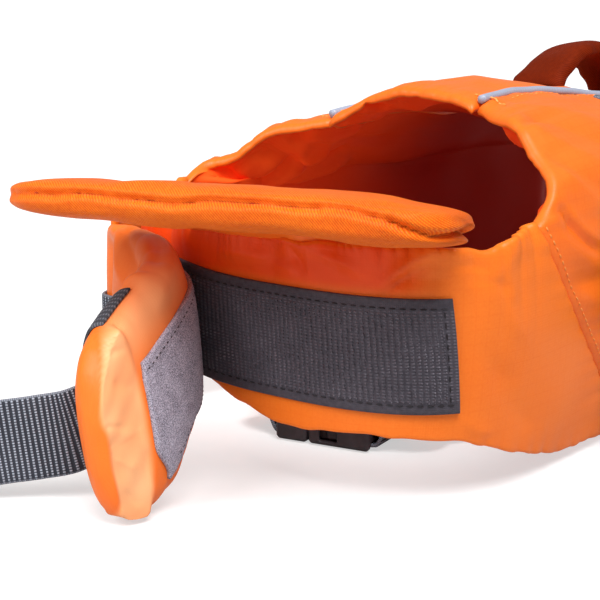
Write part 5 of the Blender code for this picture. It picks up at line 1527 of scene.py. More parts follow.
def chest_flap():
    """Cloth-covered foam flap."""
    run = np.concatenate((np.linspace(0.0, FLAP_END_RUN, FLAP_RINGS - FLAP_END_RINGS, endpoint=False),
                          np.linspace(FLAP_END_RUN, FLAP_LENGTH, FLAP_END_RINGS)))
    rounds = np.linspace(0.0, FLAP_ROUND, FLAP_SIDES, endpoint=False)
    grid_run, grid_round = np.meshgrid(run, rounds, indexing="ij")
    grid_angle = FLAP_ANGLES[None, :] + 0 * grid_run
    signed_round = np.where(grid_round > FLAP_ROUND / 2, grid_round - FLAP_ROUND, grid_round)
    edge_run = FACE_EDGE.at("run", signed_round)
    face = between(grid_run, LOOP_END_RUN + 0.6, edge_run, 3.0, 1.6) * smooth((signed_round + 48.0) / 12.0)
    ridge = hump(grid_run, edge_run, 1.1) * smooth((edge_run - 92.0) / 6.0)
    patch_room = smooth((LOOP_END_RUN + 4.0 - grid_run) / 5.0) * smooth((27.0 - np.abs(signed_round)) / 6.0)
    webbing_room = between(grid_run, 72.0, 98.0, 4.0, 4.0) * between(grid_round, 33.0, 62.0, 3.0, 4.0)
    folds = (creases(grid_run, grid_round, FLAP_FOLDS)
             + puckers(grid_run, np.abs(grid_round - FLAP_ROUND / 4), 9.0, 0.7, 9.0, 0.7)
             * smooth((FLAP_LENGTH - 6.0 - grid_run) / 10.0)
             + puckers(grid_run, np.abs(grid_round - 3 * FLAP_ROUND / 4), 8.0, 0.6, 9.0, 2.7)
             + 1.1 * waves(grid_run, grid_round, 30.0, FLAP_WAVE_SEED) * smooth(grid_run / 20.0))
    folds = (folds * smooth((FLAP_LENGTH + 1.0 - grid_run) / 4.0) * (1 - 0.85 * patch_room)
             * (1 - 0.9 * webbing_room) * (1 - 0.75 * smooth((grid_run - 101.0) / 5.0)))
    pressed = ROOT_PRESS * root_part(grid_run) * between(grid_round, 40.0, 104.0, 12.0, 10.0)
    rings = flap_surface(grid_run, grid_angle, folds * (1 - 0.7 * face) - pressed + 0.7 * ridge)
    rings = press_flat(rings, face, FACE_PRESS)
    crumples = 0.7 * waves(grid_run, grid_round, 13.0, 52) + creases(grid_run, signed_round, FACE_FOLDS)
    rings = rings + (face * crumples)[..., None] * face_way(rings, face)
    flap = ringed("chest_flap_cloth", rings, run, rounds, FLAP_CLOTH, ["chest_flap"])
    # Painted highlight: the end face and the crown are marked to take the flap cloth's pale colour.
    painted_face_highlight = (face * (0.75 + 0.25 * waves(grid_run, grid_round, 20.0, 53))
              * smooth((signed_round + 52.0) / 22.0))
    crown = (0.65 * hump(grid_round, CROWN_ROUND, CROWN_REACH) * smooth((grid_run - 40.0) / 26.0)
             * smooth((edge_run - grid_run + 0.5) / 2.5))
    pale = np.clip(painted_face_highlight + crown * (1 - face), 0, 1).ravel()
    keep_on_points(flap.data, "pale", np.append(pale, (0.0, 0.0)))


chest_flap()

# %% Loop patch
LOOP_START_RUN = 6.6
LOOP_THICK = 1.0
LOOP_TOP = 18.6
LOOP_BOTTOM = 19.0
LOOP_DROP = 4.6
LOOP_ROWS = 60
LOOP_COLUMNS = 130


def inner_face_angle(run, tall):
    """Angle round the flap's section that lies at a height on its inner face."""
    share = np.clip(np.abs(tall) / FLAP.at("half_high", run), 0, 0.98)
    return np.arcsin(np.sign(tall) * share ** (FLAP_POWER / 2))


def loop_patch():
    """Brushed loop tape on the flap's inner face."""
    part = np.linspace(-1.0, 1.0, LOOP_ROWS)[:, None]
    end = LOOP_END_RUN - 5.4 * smooth((-part - 0.35) / 0.65) - 0.9 * smooth((part - 0.7) / 0.3)
    run = LOOP_START_RUN + np.linspace(0.0, 1.0, LOOP_COLUMNS)[None, :] * (end - LOOP_START_RUN)
    low = LOOP_BOTTOM + LOOP_DROP * smooth((run - 68.0) / 17.0)
    tall = np.where(part > 0, part * LOOP_TOP, part * low)
    angle = inner_face_angle(run, tall)
    fuzz = 0.12 * waves(run, tall, 2.2, 61) + 0.10 * waves(run, tall, 1.3, 62)
    room = 0.075 * waves(run, tall, 34.0, FLAP_WAVE_SEED)
    outer = flap_surface(run, angle, TAPE_GAP + LOOP_THICK + fuzz + room)
    inner = flap_surface(run, angle, TAPE_GAP - 0.9 + 0 * run)
    patch = shell("loop_patch_tape", outer, inner, np.stack((run, tall), axis=-1), LOOP_TAPE,
                  ["loop_patch"], roll=0.5)


loop_patch()

# %% [markdown]
# ## Chin pad
# A flat pillow of twill over foam.  One seam runs round its rim as a narrow groove, and the cloth is
# drawn into it in small puckers.

# %% Chin pad and hinge
PAD_REAR = (12.0, -97.0, 99.8)
PAD_TURN = 20.0
PAD_TILT = 9.0
PAD_LENGTH = 155.0
PAD_WIDTH = 55.0
PAD_THICK = 14.0
PAD_CORNER = 20.0
PAD_DROOP = 2.5
PAD_DROOP_START = 20.0
PAD_DROOP_REACH = 55.0
PAD_POWER = 4.2
PAD_SIDES = 120
PAD_RINGS = 170


def pad_axes():
    """Directions along the chin pad, forwards across it, and up through it."""
    turn = math.radians(PAD_TURN)
    tilt = math.radians(PAD_TILT)
    along = np.array((math.cos(turn), math.sin(turn), 0.0))
    forward = np.array((math.sin(turn) * math.cos(tilt), -math.cos(turn) * math.cos(tilt), math.sin(tilt)))
    return along, forward, np.cross(along, forward) * -1


def pad_sag(run):
    """How far the drooping left end of the chin pad hangs at a run."""
    return PAD_DROOP * smooth((np.asarray(run) - PAD_DROOP_START) / PAD_DROOP_REACH)


def pad_point(run, forward_place, up_place):
    """Point of the chin pad from its middle line, with its drooping left end."""
    along, forward, up = pad_axes()
    middle = np.array(PAD_REAR) + forward * PAD_WIDTH / 2
    return (middle + np.multiply.outer(run, along) + np.multiply.outer(forward_place, forward)
            + np.multiply.outer(up_place - pad_sag(run), up))


PAD_ANGLES, PAD_ROUND = even_angles(PAD_WIDTH / 2, PAD_THICK / 2, PAD_POWER, PAD_SIDES)

# Height of the rim seam above the middle of the pad, along it
PAD_SEAM = Table(("run", "height"), (
    (-77.5, 0.0), (-62.0, 1.2), (-47.6, 1.9), (-32.0, 1.5), (-16.7, 1.0), (0.0, 1.4), (18.0, 2.0),
    (39.0, 2.6), (52.7, 2.4), (60.0, 1.2), (66.0, -0.6), (71.0, -2.0), (77.5, -2.6)))

# Folds of the pad's faces: run and distance across it, half width, height
PAD_FOLDS = (
    (-70.0, 20.0, -50.0, 12.0, 4.0, -0.9), (-30.0, 24.0, -8.0, 14.0, 5.0, 0.8),
    (10.0, 22.0, 34.0, 26.0, 4.0, -0.8), (40.0, 10.0, 66.0, 22.0, 5.0, 0.9),
    (52.0, 26.0, 70.0, 18.0, 2.5, -0.9), (-60.0, -20.0, -30.0, -10.0, 6.0, -0.8),
    (20.0, -18.0, 56.0, -22.0, 5.0, 0.8), (-20.0, -6.0, 20.0, 4.0, 8.0, 0.7),
)

# Puffs of cloth beside the pad's seam: pitch, depth, reach and seed
PAD_PUFFS = ((5.4, 0.42, 3.4, 0.3), (12.0, 0.45, 6.0, 1.3))


def chin_pad():
    """Twill pillow whose rim seam parts its end into two lips; gives back the seam's line."""
    half = PAD_LENGTH / 2
    runs = half * np.sin(np.linspace(-1.0, 1.0, PAD_RINGS) * math.pi / 2)
    ending = np.where(runs > 0, 14.0, 7.0)
    closing = (1 - np.minimum(np.abs(runs) / half, 0.99999) ** ending) ** (1 / np.where(runs > 0, 4.0, 2.2))
    into_corner = np.clip((np.abs(runs) - (half - PAD_CORNER)) / PAD_CORNER, 0.0, 1.0)
    half_width = PAD_WIDTH / 2 - PAD_CORNER * (1 - np.sqrt(1 - into_corner ** 2))
    half_width = (half_width * closing ** 0.5)[:, None]
    taper = np.where(runs > 0, 0.92, 0.62)
    half_thick = (PAD_THICK / 2 * (taper + (1 - taper) * rise(half - np.abs(runs), 30.0)) * closing)[:, None]
    across, height = pillow_section(PAD_ANGLES[None, :], PAD_POWER)
    rounds = np.linspace(0.0, PAD_ROUND, PAD_SIDES, endpoint=False)
    run = runs[:, None] + 0 * across
    wander = 0.35 * np.sin(run / 7.0) + 0.25 * np.sin(run / 3.3 + 1.0)
    seam_place = (PAD_SEAM.at("height", run) + wander) * half_thick / (PAD_THICK / 2)
    off_seam = height * half_thick - seam_place
    edge = smooth((np.abs(across) - 0.80) / 0.16)
    at_end = smooth((runs - (half - 9.0)) / 8.0)[:, None]
    fade = smooth((run + half - 3.0) / 22.0)
    parted = smooth((runs - 56.0) / 14.0)[:, None]
    edge = np.maximum(edge, at_end)
    stretch = run + 40.0 * np.sign(across)
    groove = ((0.6 + 1.5 * fade + 1.7 * parted) * edge
              * np.exp(-np.abs(off_seam / (0.8 + 0.35 * parted)) ** 1.3))
    lips = 0.9 * hump(np.abs(off_seam), 2.4, 1.4) * edge
    puff = pucker_rows(stretch, np.abs(off_seam), 0.0, PAD_PUFFS) * edge
    place = across * PAD_WIDTH / 2
    soft = (creases(run, place, PAD_FOLDS) + 0.8 * waves(run, place, 36.0, 71)) * (1 - 0.7 * edge)
    width = across * (half_width + (puff + lips - groove) * (1 - at_end))
    thick = height * half_thick * (1 + 0.05 * np.sin(run / 17.0)) + soft * np.sign(height) * (1 - at_end)
    upper_lip = parted * (off_seam > 0)
    dent = (groove - lips - puff) * at_end * np.sign(run) - upper_lip * at_end
    along, _, up = pad_axes()
    sag = pad_sag(run) - pad_sag(0.0)
    rings = pad_point(0 * run, width, thick) + (run - dent)[..., None] * along - sag[..., None] * up
    pad = ringed("chin_pad_cloth", rings, runs, rounds, TWILL, ["chin_pad"])
    return np.stack([pad_point(value, PAD_WIDTH / 2 - 1.9, float(PAD_SEAM.at("height", value)))
                     for value in np.linspace(-58.0, 52.0, 120)])


PAD_SEAM_LINE = chin_pad()

HINGE_LENGTH = 78.0
HINGE_THICK = 1.2
HINGE_COLUMNS = 80


def chin_pad_hinge():
    """Short strip of cloth from the neck edge of the left band up to the pad's rear seam."""
    run = np.linspace(-HINGE_LENGTH / 2, HINGE_LENGTH / 2, HINGE_COLUMNS)
    pad_edge = pad_point(run, 0 * run - PAD_WIDTH / 2 + 6.0, 0 * run - 0.93 * PAD_THICK / 2)
    arc = pad_edge[:, 0]
    neck = chest_point(arc, LEFT_BAND.at("top", arc))
    neck[:, 2] -= 1.0
    neck[:, 1] += BAND_CLOTH / 2 - band_gather(arc)
    part = np.linspace(0.0, 1.0, 10)[:, None, None]
    front = neck[None] + part * (pad_edge - neck)[None]
    ripple = 0.5 * np.sin(run / 3.4 + 0.8 * np.sin(run / 7.0))[None, :, None] * np.sin(math.pi * part)
    front = front + ripple * np.array((0.0, 1.0, 0.0))
    back = front + np.array((0.0, HINGE_THICK, 0.0))
    chart = np.stack((run[None, :] + 0 * part[..., 0], 6.0 * part[..., 0] + 0 * run[None, :]), axis=-1)
    hinge = shell("chin_pad_hinge_cloth", front, back, chart, PACK_CLOTH, ["chin_pad_hinge"])


chin_pad_hinge()

# %% [markdown]
# ## Webbing
# Webbing is woven in ribs across its width.  A geometry tree raises the ribs: it reads how far each
# point lies along the strap and pushes it out along the strap's own face.  The beads on a rib are finer
# than any mesh should be, so the material draws them.

# %% Helpers for geometry trees, and the rib tree
def new_geometry_tree(name, first, numbers):
    """Geometry tree that takes a geometry, numbers and a finish; gives back the tree and its end nodes."""
    tree = bpy.data.node_groups.new(name, "GeometryNodeTree")
    given = [(label, "Float", usual) for label, usual in numbers.items()]
    given = [(first, "Geometry", None), *given, ("Finish", "Material", None)]
    return (tree, *add_sockets(tree, given, [("Geometry", "Geometry", None)]))


def kept_value(tree, label, kind="FLOAT"):
    """What a mesh keeps on its points under a label."""
    kept = tree.nodes.new("GeometryNodeInputNamedAttribute")
    kept.data_type = kind
    kept.inputs["Name"].default_value = label
    return kept.outputs[0]


def make_real(tree, geometry, given, out, rounded=False):
    """Make a geometry a plain mesh, shade it round if asked to, and give it the finish."""
    whole = tree.nodes.new("GeometryNodeRealizeInstances")
    wire(tree, geometry, whole.inputs[0])
    shape = whole.outputs[0]
    if rounded:
        shading = tree.nodes.new("GeometryNodeSetShadeSmooth")
        wire(tree, shape, shading.inputs[0])
        shape = shading.outputs[0]
    dress = tree.nodes.new("GeometryNodeSetMaterial")
    wire(tree, shape, dress.inputs["Geometry"])
    wire(tree, given.outputs["Finish"], dress.inputs["Material"])
    wire(tree, dress.outputs[0], out.inputs[0])


def rib_tree():
    """Geometry tree that raises ribs across a strap."""
    tree, given, out = new_geometry_tree("webbing_ribs", "Strap", {"Rib Pitch": 1.5, "Rib Height": 0.2})
    turns = maths(tree, "DIVIDE", kept_value(tree, "along"), given.outputs["Rib Pitch"])
    wave = maths(tree, "SINE", times(tree, turns, FULL_TURN))
    height = times(tree, wave, times(tree, given.outputs["Rib Height"], MM / 2))
    move = tree.nodes.new("GeometryNodeSetPosition")
    wire(tree, given.outputs["Strap"], move.inputs["Geometry"])
    wire(tree, scaled(tree, kept_value(tree, "facing", "FLOAT_VECTOR"), height), move.inputs["Offset"])
    make_real(tree, move.outputs[0], given, out)
    return tree


WEBBING_RIBS = rib_tree()


def run_tree(piece, tree, settings):
    """Run a geometry tree on a piece and keep its result as a plain mesh."""
    modifier = piece.modifiers.new(tree.name, "NODES")
    modifier.node_group = tree
    for item in tree.interface.items_tree:
        if item.item_type == "SOCKET" and item.in_out == "INPUT" and item.name in settings:
            modifier[item.identifier] = settings[item.name]
    bpy.context.view_layer.update()
    graph = bpy.context.evaluated_depsgraph_get()
    mesh = bpy.data.meshes.new_from_object(piece.evaluated_get(graph), preserve_all_data_layers=True,
                                           depsgraph=graph)
    piece.modifiers.clear()
    old = piece.data
    piece.data = mesh
    mesh.name = old.name
    bpy.data.meshes.remove(old)
    return piece


# %% Straps
RIBBON_COLUMNS = 14
RIB_HEIGHT = 0.22


def strap_route(route, step):
    """Evenly spaced points and width directions on a smooth curve through a route's rows."""
    rows = np.array(route, dtype=float)
    keys = walked_along(rows[:, :3])
    curve = Table(("run", "x", "y", "z", "wx", "wy", "wz"), np.column_stack((keys, rows)))

    def course(labels, key):
        return np.stack([curve.at(label, key) for label in labels], axis=-1)

    key = np.linspace(0.0, keys[-1], int(keys[-1] / 0.1) + 2)
    walked = walked_along(course(("x", "y", "z"), key))
    runs = np.linspace(0.0, walked[-1], int(walked[-1] / step) + 2)
    picked = np.interp(runs, walked, key)
    return course(("x", "y", "z"), picked), unit(course(("wx", "wy", "wz"), picked)), runs


def square_to(places, widths):
    """Directions along a course and across it, the latter turned square to the course."""
    tangents = unit(np.gradient(places, axis=0))
    return tangents, unit(widths - tangents * np.sum(widths * tangents, axis=-1, keepdims=True))


def strap(name, places, widths, runs, width, finishes, replaced, thick=WEBBING_THICK):
    """Flat webbing with rounded edges and raised ribs along a route."""
    tangents, across = square_to(places, widths)
    normals = np.cross(tangents, across)
    half = thick / 2
    middle = width / 2 - half
    flat = np.linspace(-1.0, 1.0, RIBBON_COLUMNS) * middle
    turn = np.array((0.25, 0.5, 0.75)) * math.pi
    section = np.array([(place, half, 1.0) for place in flat]
                       + [(middle + half * math.sin(t), half * math.cos(t), 0.0) for t in turn]
                       + [(place, -half, -1.0) for place in flat[::-1]]
                       + [(-middle - half * math.sin(t), -half * math.cos(t), 0.0) for t in turn])
    rings = (places[:, None] + across[:, None] * section[None, :, 0:1]
             + normals[:, None] * section[None, :, 1:2])
    piece = ringed(name, rings, runs, section[:, 0], finishes, replaced)
    facing = normals[:, None] * section[None, :, 2:3]
    keep_on_points(piece.data, "along", np.append(np.repeat(runs, len(section)), (0.0, 0.0)))
    keep_on_points(piece.data, "facing", np.vstack((facing.reshape(-1, 3), np.zeros((2, 3)))))
    return run_tree(piece, WEBBING_RIBS,
                    {"Rib Pitch": WEBBING_RIB_PITCH, "Rib Height": RIB_HEIGHT, "Finish": finishes})


BAR_LENGTH = 3.0
BAR_HALF_THICK = 1.5
STRAP_CLEARANCE = 0.75
TAB_CLEARANCE = 1.7
UPWARD = np.array((0.0, 0.0, 1.0))


def declare_strap(runs):
    """Walked length of webbing, in metres."""
    length = float(runs[-1]) * MM
    return length


def bar_wrap(tail, away, up, across, climb):
    """Route rows of webbing folded round a buckle's tail bar, from its sewn end back out again."""
    angle = math.radians(climb)
    layer = WEBBING_THICK / 2 + 0.25
    wrap = BAR_HALF_THICK + WEBBING_THICK / 2 + 0.5
    inside = -(BAR_LENGTH + WEBBING_THICK / 2 + 0.5)
    leaving = [(run * math.cos(angle) + turn * layer * math.sin(angle),
                run * math.sin(angle) - turn * layer * math.cos(angle))
               for run, turn in ((9.0, 1), (5.6, 1), (5.6, -1), (9.0, -1))]
    rows = (leaving[0], leaving[1], (0.8, -wrap), (-1.6, -wrap), (inside + 0.4, -wrap * 0.85), (inside, 0.0),
            (inside + 0.4, wrap * 0.85), (-1.6, wrap), (0.6, wrap + 0.1), leaving[2], leaving[3])
    return [np.concatenate((np.asarray(tail) + away * run + up * lift, across)) for run, lift in rows]


WIDTH_SHARE = 0.04


def panel_route(side, girths, station, lift):
    """Route rows over a side panel's outer face at one station."""
    rows = []
    for girth in girths:
        first = PIPING_LINE.at("girth", 0.0) + PIPING_ROOM
        front = side_front_station(girth)
        rear = REAR_EDGE.at("station", girth)
        share = (station - front) / (rear - front)
        top = PIPING_LINE.at("girth", share) + PIPING_ROOM
        part = (girth - top) / (FLOOR_GIRTH - top)
        step = 0.6 / (FLOOR_GIRTH - first)
        patch, _, _ = side_surfaces(side, (part - step, part, part + step),
                                    (share - WIDTH_SHARE, share, share + WIDTH_SHARE))
        normal = grid_normals(patch, BODY_MIDDLE)[1, 1]
        rows.append(np.concatenate((patch[1, 1] + normal * lift, unit(patch[1, 2] - patch[1, 0]))))
    return rows


# %% Neck strap and its tab
NECK_WEBBING = 30.0
NECK_ARCS = (112.0, 104.0, 96.0, 88.0, 80.0, 73.0)
NECK_SEWN_HEIGHT = 44.0
NECK_FLAP_ROWS = ((6.6, 12.6), (15.8, 12.8), (25.6, 13.0), (35.0, 13.0))
NECK_STEP = 0.26
NECK_FREE_ROUTE = (
    # x, y, z, width direction
    (-33.0, -122.8, 41.0, 0.0, 0.0, 1.0),
    (-28.0, -130.0, 34.0, 0.0, 0.0, 1.0),
    (-26.0, -139.5, 28.5, 0.0, 0.0, 1.0),
    (-29.0, -149.5, 24.8, 0.0, 0.0, 1.0),
    (-37.0, -158.0, 22.8, 0.0, 0.0, 1.0),
    (-47.0, -166.5, 21.0, 0.0, 0.0, 1.0),
    (-59.0, -175.0, 18.5, 0.0, 0.15, 1.0),
    (-73.0, -181.5, 15.0, 0.0, 0.5, 0.9),
    (-87.0, -184.5, 11.0, 0.0, 0.8, 0.55),
    (-99.0, -184.9, 8.4, 0.0, 1.0, 0.12),
)
NECK_PRONG_TAIL = (-121.0, -183.6, 6.0)
NECK_PRONG_WAY = unit(np.array((-1.0, 0.06, 0.0)))
NECK_TAB_STATION = 59.5
NECK_TAB_GIRTH = 135.0
NECK_SOCKET_TAIL = (98.6, 46.0, 62.0)
NECK_SOCKET_WAY = unit(np.array((0.03, -1.0, 0.0)))


def neck_strap():
    """Webbing from the right band over the flap's outer face, then loose to its buckle half."""
    lift = WEBBING_THICK / 2 + STRAP_CLEARANCE
    arc, height = np.meshgrid(NECK_ARCS, NECK_SEWN_HEIGHT + np.array((-1.0, 0.0, 1.0)))
    form, normals, offset = band_face(-1, arc, height, height + 100.0)
    sewn = form + normals * (offset + lift)[..., None]
    rows = [(*place, *upward) for place, upward in zip(sewn[1], unit(sewn[2] - sewn[0]))]
    for run, drop in NECK_FLAP_ROWS:
        share = drop / FLAP.at("half_high", run)
        angle = math.pi - math.asin(-share ** (FLAP_POWER / 2))
        strap_lift = lift + 0.4 - (ROOT_PRESS + 0.3) * root_part(run)
        rows.append((*flap_surface(np.array(run), np.array(angle), strap_lift), 0.0, 0.0, 1.0))
    rows += list(NECK_FREE_ROUTE)
    rows += bar_wrap(NECK_PRONG_TAIL, -NECK_PRONG_WAY, UPWARD, np.cross(NECK_PRONG_WAY, UPWARD), 0.0)[::-1]
    places, widths, runs = strap_route(rows, NECK_STEP)
    piece = strap("neck_strap_webbing", places, widths, runs, NECK_WEBBING, WEBBING, ["neck_strap"])
    print("neck strap", round(declare_strap(runs), 3), "m")


neck_strap()

CROWN_WEBBING_RUN = (77.0, 93.5)
CROWN_WEBBING_ROUND = (36.6, 56.0)


def crown_webbing():
    """Edge of the neck webbing that shows where it crosses the flap's crown."""
    run, place = np.meshgrid(np.linspace(*CROWN_WEBBING_RUN, 44), np.linspace(*CROWN_WEBBING_ROUND, 40))
    run = run + 0.10 * (place - CROWN_WEBBING_ROUND[0])
    angle = np.interp(place, np.linspace(0.0, FLAP_ROUND, FLAP_SIDES, endpoint=False), FLAP_ANGLES)
    ribs = 0.08 * np.sin(FULL_TURN * run / WEBBING_RIB_PITCH)
    outer = flap_surface(run, angle, 1.3 + ribs)
    inner = flap_surface(run, angle, 0.2 + 0 * run)
    piece = shell("neck_webbing_crown", outer, inner, np.stack((run, place - 46.0), axis=-1), PAINTED_SHADE_WEBBING,
                  [], roll=0.4)


crown_webbing()


def neck_tab():
    """Short webbing tab on the left side panel that holds the socket half."""
    lift = WEBBING_THICK / 2 + TAB_CLEARANCE
    rows = []
    for station in (NECK_TAB_STATION, NECK_TAB_STATION - 3.0):
        row = panel_route(1, (NECK_TAB_GIRTH,), station, lift)[0]
        rows.append((*row[:3], 0.0, 0.0, 1.0))
    outward = np.cross(NECK_SOCKET_WAY, UPWARD) * -1
    rows += bar_wrap(NECK_SOCKET_TAIL, -NECK_SOCKET_WAY, outward, UPWARD, 0.0)[1:-1]
    places, widths, runs = strap_route(rows, NECK_STEP)
    piece = strap("neck_buckle_tab_webbing", places, widths, runs, NECK_WEBBING, WEBBING, ["neck_buckle_tab"])
    declare_strap(runs)


neck_tab()

# %% Belly straps
BELLY_WEBBING = 20.0
BELLY_STATION = 72.0
BELLY_BUCKLE_MIDDLE = (-5.0, -35.0)
BELLY_BUCKLE_TURN = 11.5
BELLY_BUCKLE_THICK = 9.4
BELLY_SOCKET_LENGTH = 26.0
BELLY_PRONG_BASE = 13.6
BELLY_CLIMB = 42.0
BELLY_STEP = 0.37
# Routes of the two halves under the chest, then the same course on both sides up to the side panel
BELLY_ROUTES = {
    # x, y, z, width direction
    1: ((27.5, -25.5, 13.5, -0.15, 0.80, 0.45), (34.0, -19.0, 17.0, 0.0, 0.15, 1.0),
        (40.0, -6.0, 15.5, 0.0, 0.0, 1.0), (44.0, 12.0, 13.4, 0.0, 0.0, 1.0),
        (47.0, 28.0, 12.0, 0.0, 0.0, 1.0)),
    -1: ((-37.5, -38.5, 14.0, -0.10, 0.75, 0.55), (-43.5, -30.5, 17.0, 0.0, 0.15, 1.0),
         (-46.0, -14.0, 14.8, 0.0, 0.0, 1.0), (-46.5, 6.0, 12.8, 0.0, 0.0, 1.0),
         (-47.5, 28.0, 11.8, 0.0, 0.0, 1.0)),
}
BELLY_SIDE_ROUTE = (
    (49.5, 45.0, 12.6, 0.0, 0.10, 1.0), (51.5, 57.0, 13.0, 0.0, 0.35, 0.95),
    (55.5, 66.0, 10.0, -0.1, 0.75, 0.6), (61.5, 71.0, 5.0, 0.0, 1.0, 0.22), (67.0, 72.0, 1.5, 0.0, 1.0, 0.0),
    (72.0, 72.0, 1.05, 0.0, 1.0, 0.0), (77.0, 72.0, 1.05, 0.0, 1.0, 0.0), (79.1, 72.0, 1.25, 0.0, 1.0, 0.0),
    (80.4, 72.0, 2.5, 0.0, 1.0, 0.0), (80.9, 72.0, 4.4, 0.0, 1.0, 0.0))
STRAP_GIRTHS = (190.0, 179.0, 168.0, 157.0, 146.0, 135.0, 124.0, 113.0, 104.0, 97.0, 91.0, 85.0, 78.0,
                70.0, 61.0, 52.0, 45.0)


def belly_buckle_frame():
    """Ends and directions of the fastened belly buckle, which lies flat under the chest."""
    turn = math.radians(BELLY_BUCKLE_TURN)
    along = np.array((math.cos(turn), math.sin(turn), 0.0))
    across = np.array((-math.sin(turn), math.cos(turn), 0.0))
    middle = np.array((*BELLY_BUCKLE_MIDDLE, BELLY_BUCKLE_THICK / 2 + 0.3))
    length = BELLY_SOCKET_LENGTH + BELLY_PRONG_BASE + SEAM_GAP
    return middle - along * length / 2, middle + along * length / 2, along, across


def belly_strap(name, side, tail, away, across):
    """Half of the belly strap: round its buckle, under the side panel and up to the piping."""
    rows = bar_wrap(tail, away, UPWARD, across, BELLY_CLIMB)
    rows += [np.array(row) for row in BELLY_ROUTES[side]]
    rows += [np.array((side * x, y, z, side * wx, wy, wz)) for x, y, z, wx, wy, wz in BELLY_SIDE_ROUTE]
    rows += panel_route(side, STRAP_GIRTHS, BELLY_STATION, WEBBING_THICK / 2 + STRAP_CLEARANCE)
    places, widths, runs = strap_route(rows, BELLY_STEP)
    piece = strap(name + "_webbing", places, widths, runs, BELLY_WEBBING, NARROW_WEBBING, [name])
    print(name, round(declare_strap(runs), 3), "m")


RIGHT_END, LEFT_END, BUCKLE_ALONG, BUCKLE_ACROSS = belly_buckle_frame()
belly_strap("belly_strap_left", 1, LEFT_END, BUCKLE_ALONG, BUCKLE_ACROSS)
belly_strap("belly_strap_right", -1, RIGHT_END, -BUCKLE_ALONG, BUCKLE_ACROSS)

# %% [markdown]
# ## Handle
# The handle is webbing with a padded cover sewn round it, so the webbing shows only as a dark edge on
# both sides.

# %% Handle
HANDLE_FRONT = 91.0
HANDLE_REAR = 163.0
HANDLE_FOOT = 7.0
HANDLE_RISE = 18.6
HANDLE_FULLNESS = 0.9
HANDLE_LEAN = 0.152
HANDLE_TWIST = 0.4
COVER_SETBACK = 1.5
HANDLE_THICK = 1.8
HANDLE_WIDTH = 25.0
COVER_WIDTH = 27.6
COVER_CROWN = 5.2
COVER_UNDERSIDE = 2.4
COVER_SIDES = 48
COVER_HALF_HIGH = 3.0
COVER_POWER = 3.2


def handle_line(lift, first, last, count):
    """Points along the handle and its width directions: flat foot, leaning arch and flat foot."""
    station = np.linspace(first, last, count)
    middle = (HANDLE_FRONT + HANDLE_REAR) / 2
    reach = (HANDLE_REAR - HANDLE_FRONT) / 2
    inside = np.clip(1 - ((station - middle) / reach) ** 2, 0.0, 1.0)
    base = arch_point(0 * station, station)[:, 2]
    z = base + lift + HANDLE_RISE * inside ** HANDLE_FULLNESS
    lean = np.stack((1 + 0 * station, -HANDLE_TWIST * inside, HANDLE_LEAN + 0 * station), axis=-1)
    return np.stack((0 * station, station, z), axis=-1), unit(lean)


def handle():
    """Webbing of the handle and its padded cover."""
    places, widths = handle_line(SEAM_GAP + HANDLE_THICK / 2, HANDLE_FRONT - HANDLE_FOOT,
                                 HANDLE_REAR + HANDLE_FOOT, 380)
    runs = walked_along(places)
    webbing = strap("handle_webbing_weave", places, widths, runs, HANDLE_WIDTH, HANDLE_WEBBING_FINISH,
                    ["handle_webbing"], thick=HANDLE_THICK)
    declare_strap(runs)
    places, widths = handle_line(SEAM_GAP + HANDLE_THICK / 2, HANDLE_FRONT + COVER_SETBACK,
                                 HANDLE_REAR - COVER_SETBACK, 130)
    runs = walked_along(places)
    tangents, sideways = square_to(places, widths)
    normals = np.cross(sideways, tangents)
    normals = normals * np.sign(normals[:, 2:3])
    angles, around = even_angles(COVER_WIDTH / 2, COVER_HALF_HIGH, COVER_POWER, COVER_SIDES)
    across, up = pillow_section(angles, COVER_POWER)
    fullness = rise(np.minimum(runs, runs[-1] - runs) + 0.3, 8.0)[:, None]
    crown = np.where(up > 0, COVER_CROWN, COVER_UNDERSIDE)[None, :] * (0.35 + 0.65 * fullness)
    rounds = np.linspace(0.0, around, COVER_SIDES, endpoint=False)
    rim = (np.abs(across) > 0.86)[None, :]
    ripple = 0.45 * np.sin(runs / 1.9 + 0.8 * np.sin(runs / 5.0))[:, None] * rim
    soft = 0.5 * waves(runs[:, None], rounds[None, :], 16.0, 81)
    rings = (places[:, None] + sideways[:, None] * (across[None, :] * (COVER_WIDTH / 2) + ripple)[..., None]
             + normals[:, None] * (up[None, :] * (crown + soft * (up > 0)))[..., None])
    cover = ringed("handle_cover_cloth", rings, runs, rounds, HANDLE_CLOTH, ["handle_cover"])


handle()

# %% [markdown]
# ## Buckles
# The buckles are moulded plastic, so every edge is a little round.  Each half starts from its own node's
# shape, is rebuilt of small cubes and smoothed, which rounds all its edges evenly, and is then grained.

# %% Moulded buckle halves
MOULD_VOXEL = 0.42
MOULD_SMOOTHING = 5


def moulded(node_name):
    """Buckle half with rounded edges, from its node's shape."""
    source = bpy.data.objects[node_name]
    mesh = source.data.copy()
    mesh.transform(source.matrix_world)
    piece = bpy.data.objects.new(node_name + "_moulding", mesh)
    bpy.context.scene.collection.objects.link(piece)
    remesh = piece.modifiers.new("small_cubes", "REMESH")
    remesh.mode = "VOXEL"
    remesh.voxel_size = MOULD_VOXEL * MM
    soften = piece.modifiers.new("soften", "SMOOTH")
    soften.factor = 0.5
    soften.iterations = MOULD_SMOOTHING
    graph = bpy.context.evaluated_depsgraph_get()
    finished = bpy.data.meshes.new_from_object(piece.evaluated_get(graph), depsgraph=graph)
    piece.modifiers.clear()
    piece.data = finished
    finished.name = piece.name
    finished.materials.clear()
    finished.materials.append(PLASTIC)
    finished.shade_smooth()
    take_place(piece, [node_name])


for buckle_half in ("belly_buckle_socket", "belly_buckle_prong", "neck_buckle_socket", "neck_buckle_prong"):
    moulded(buckle_half)

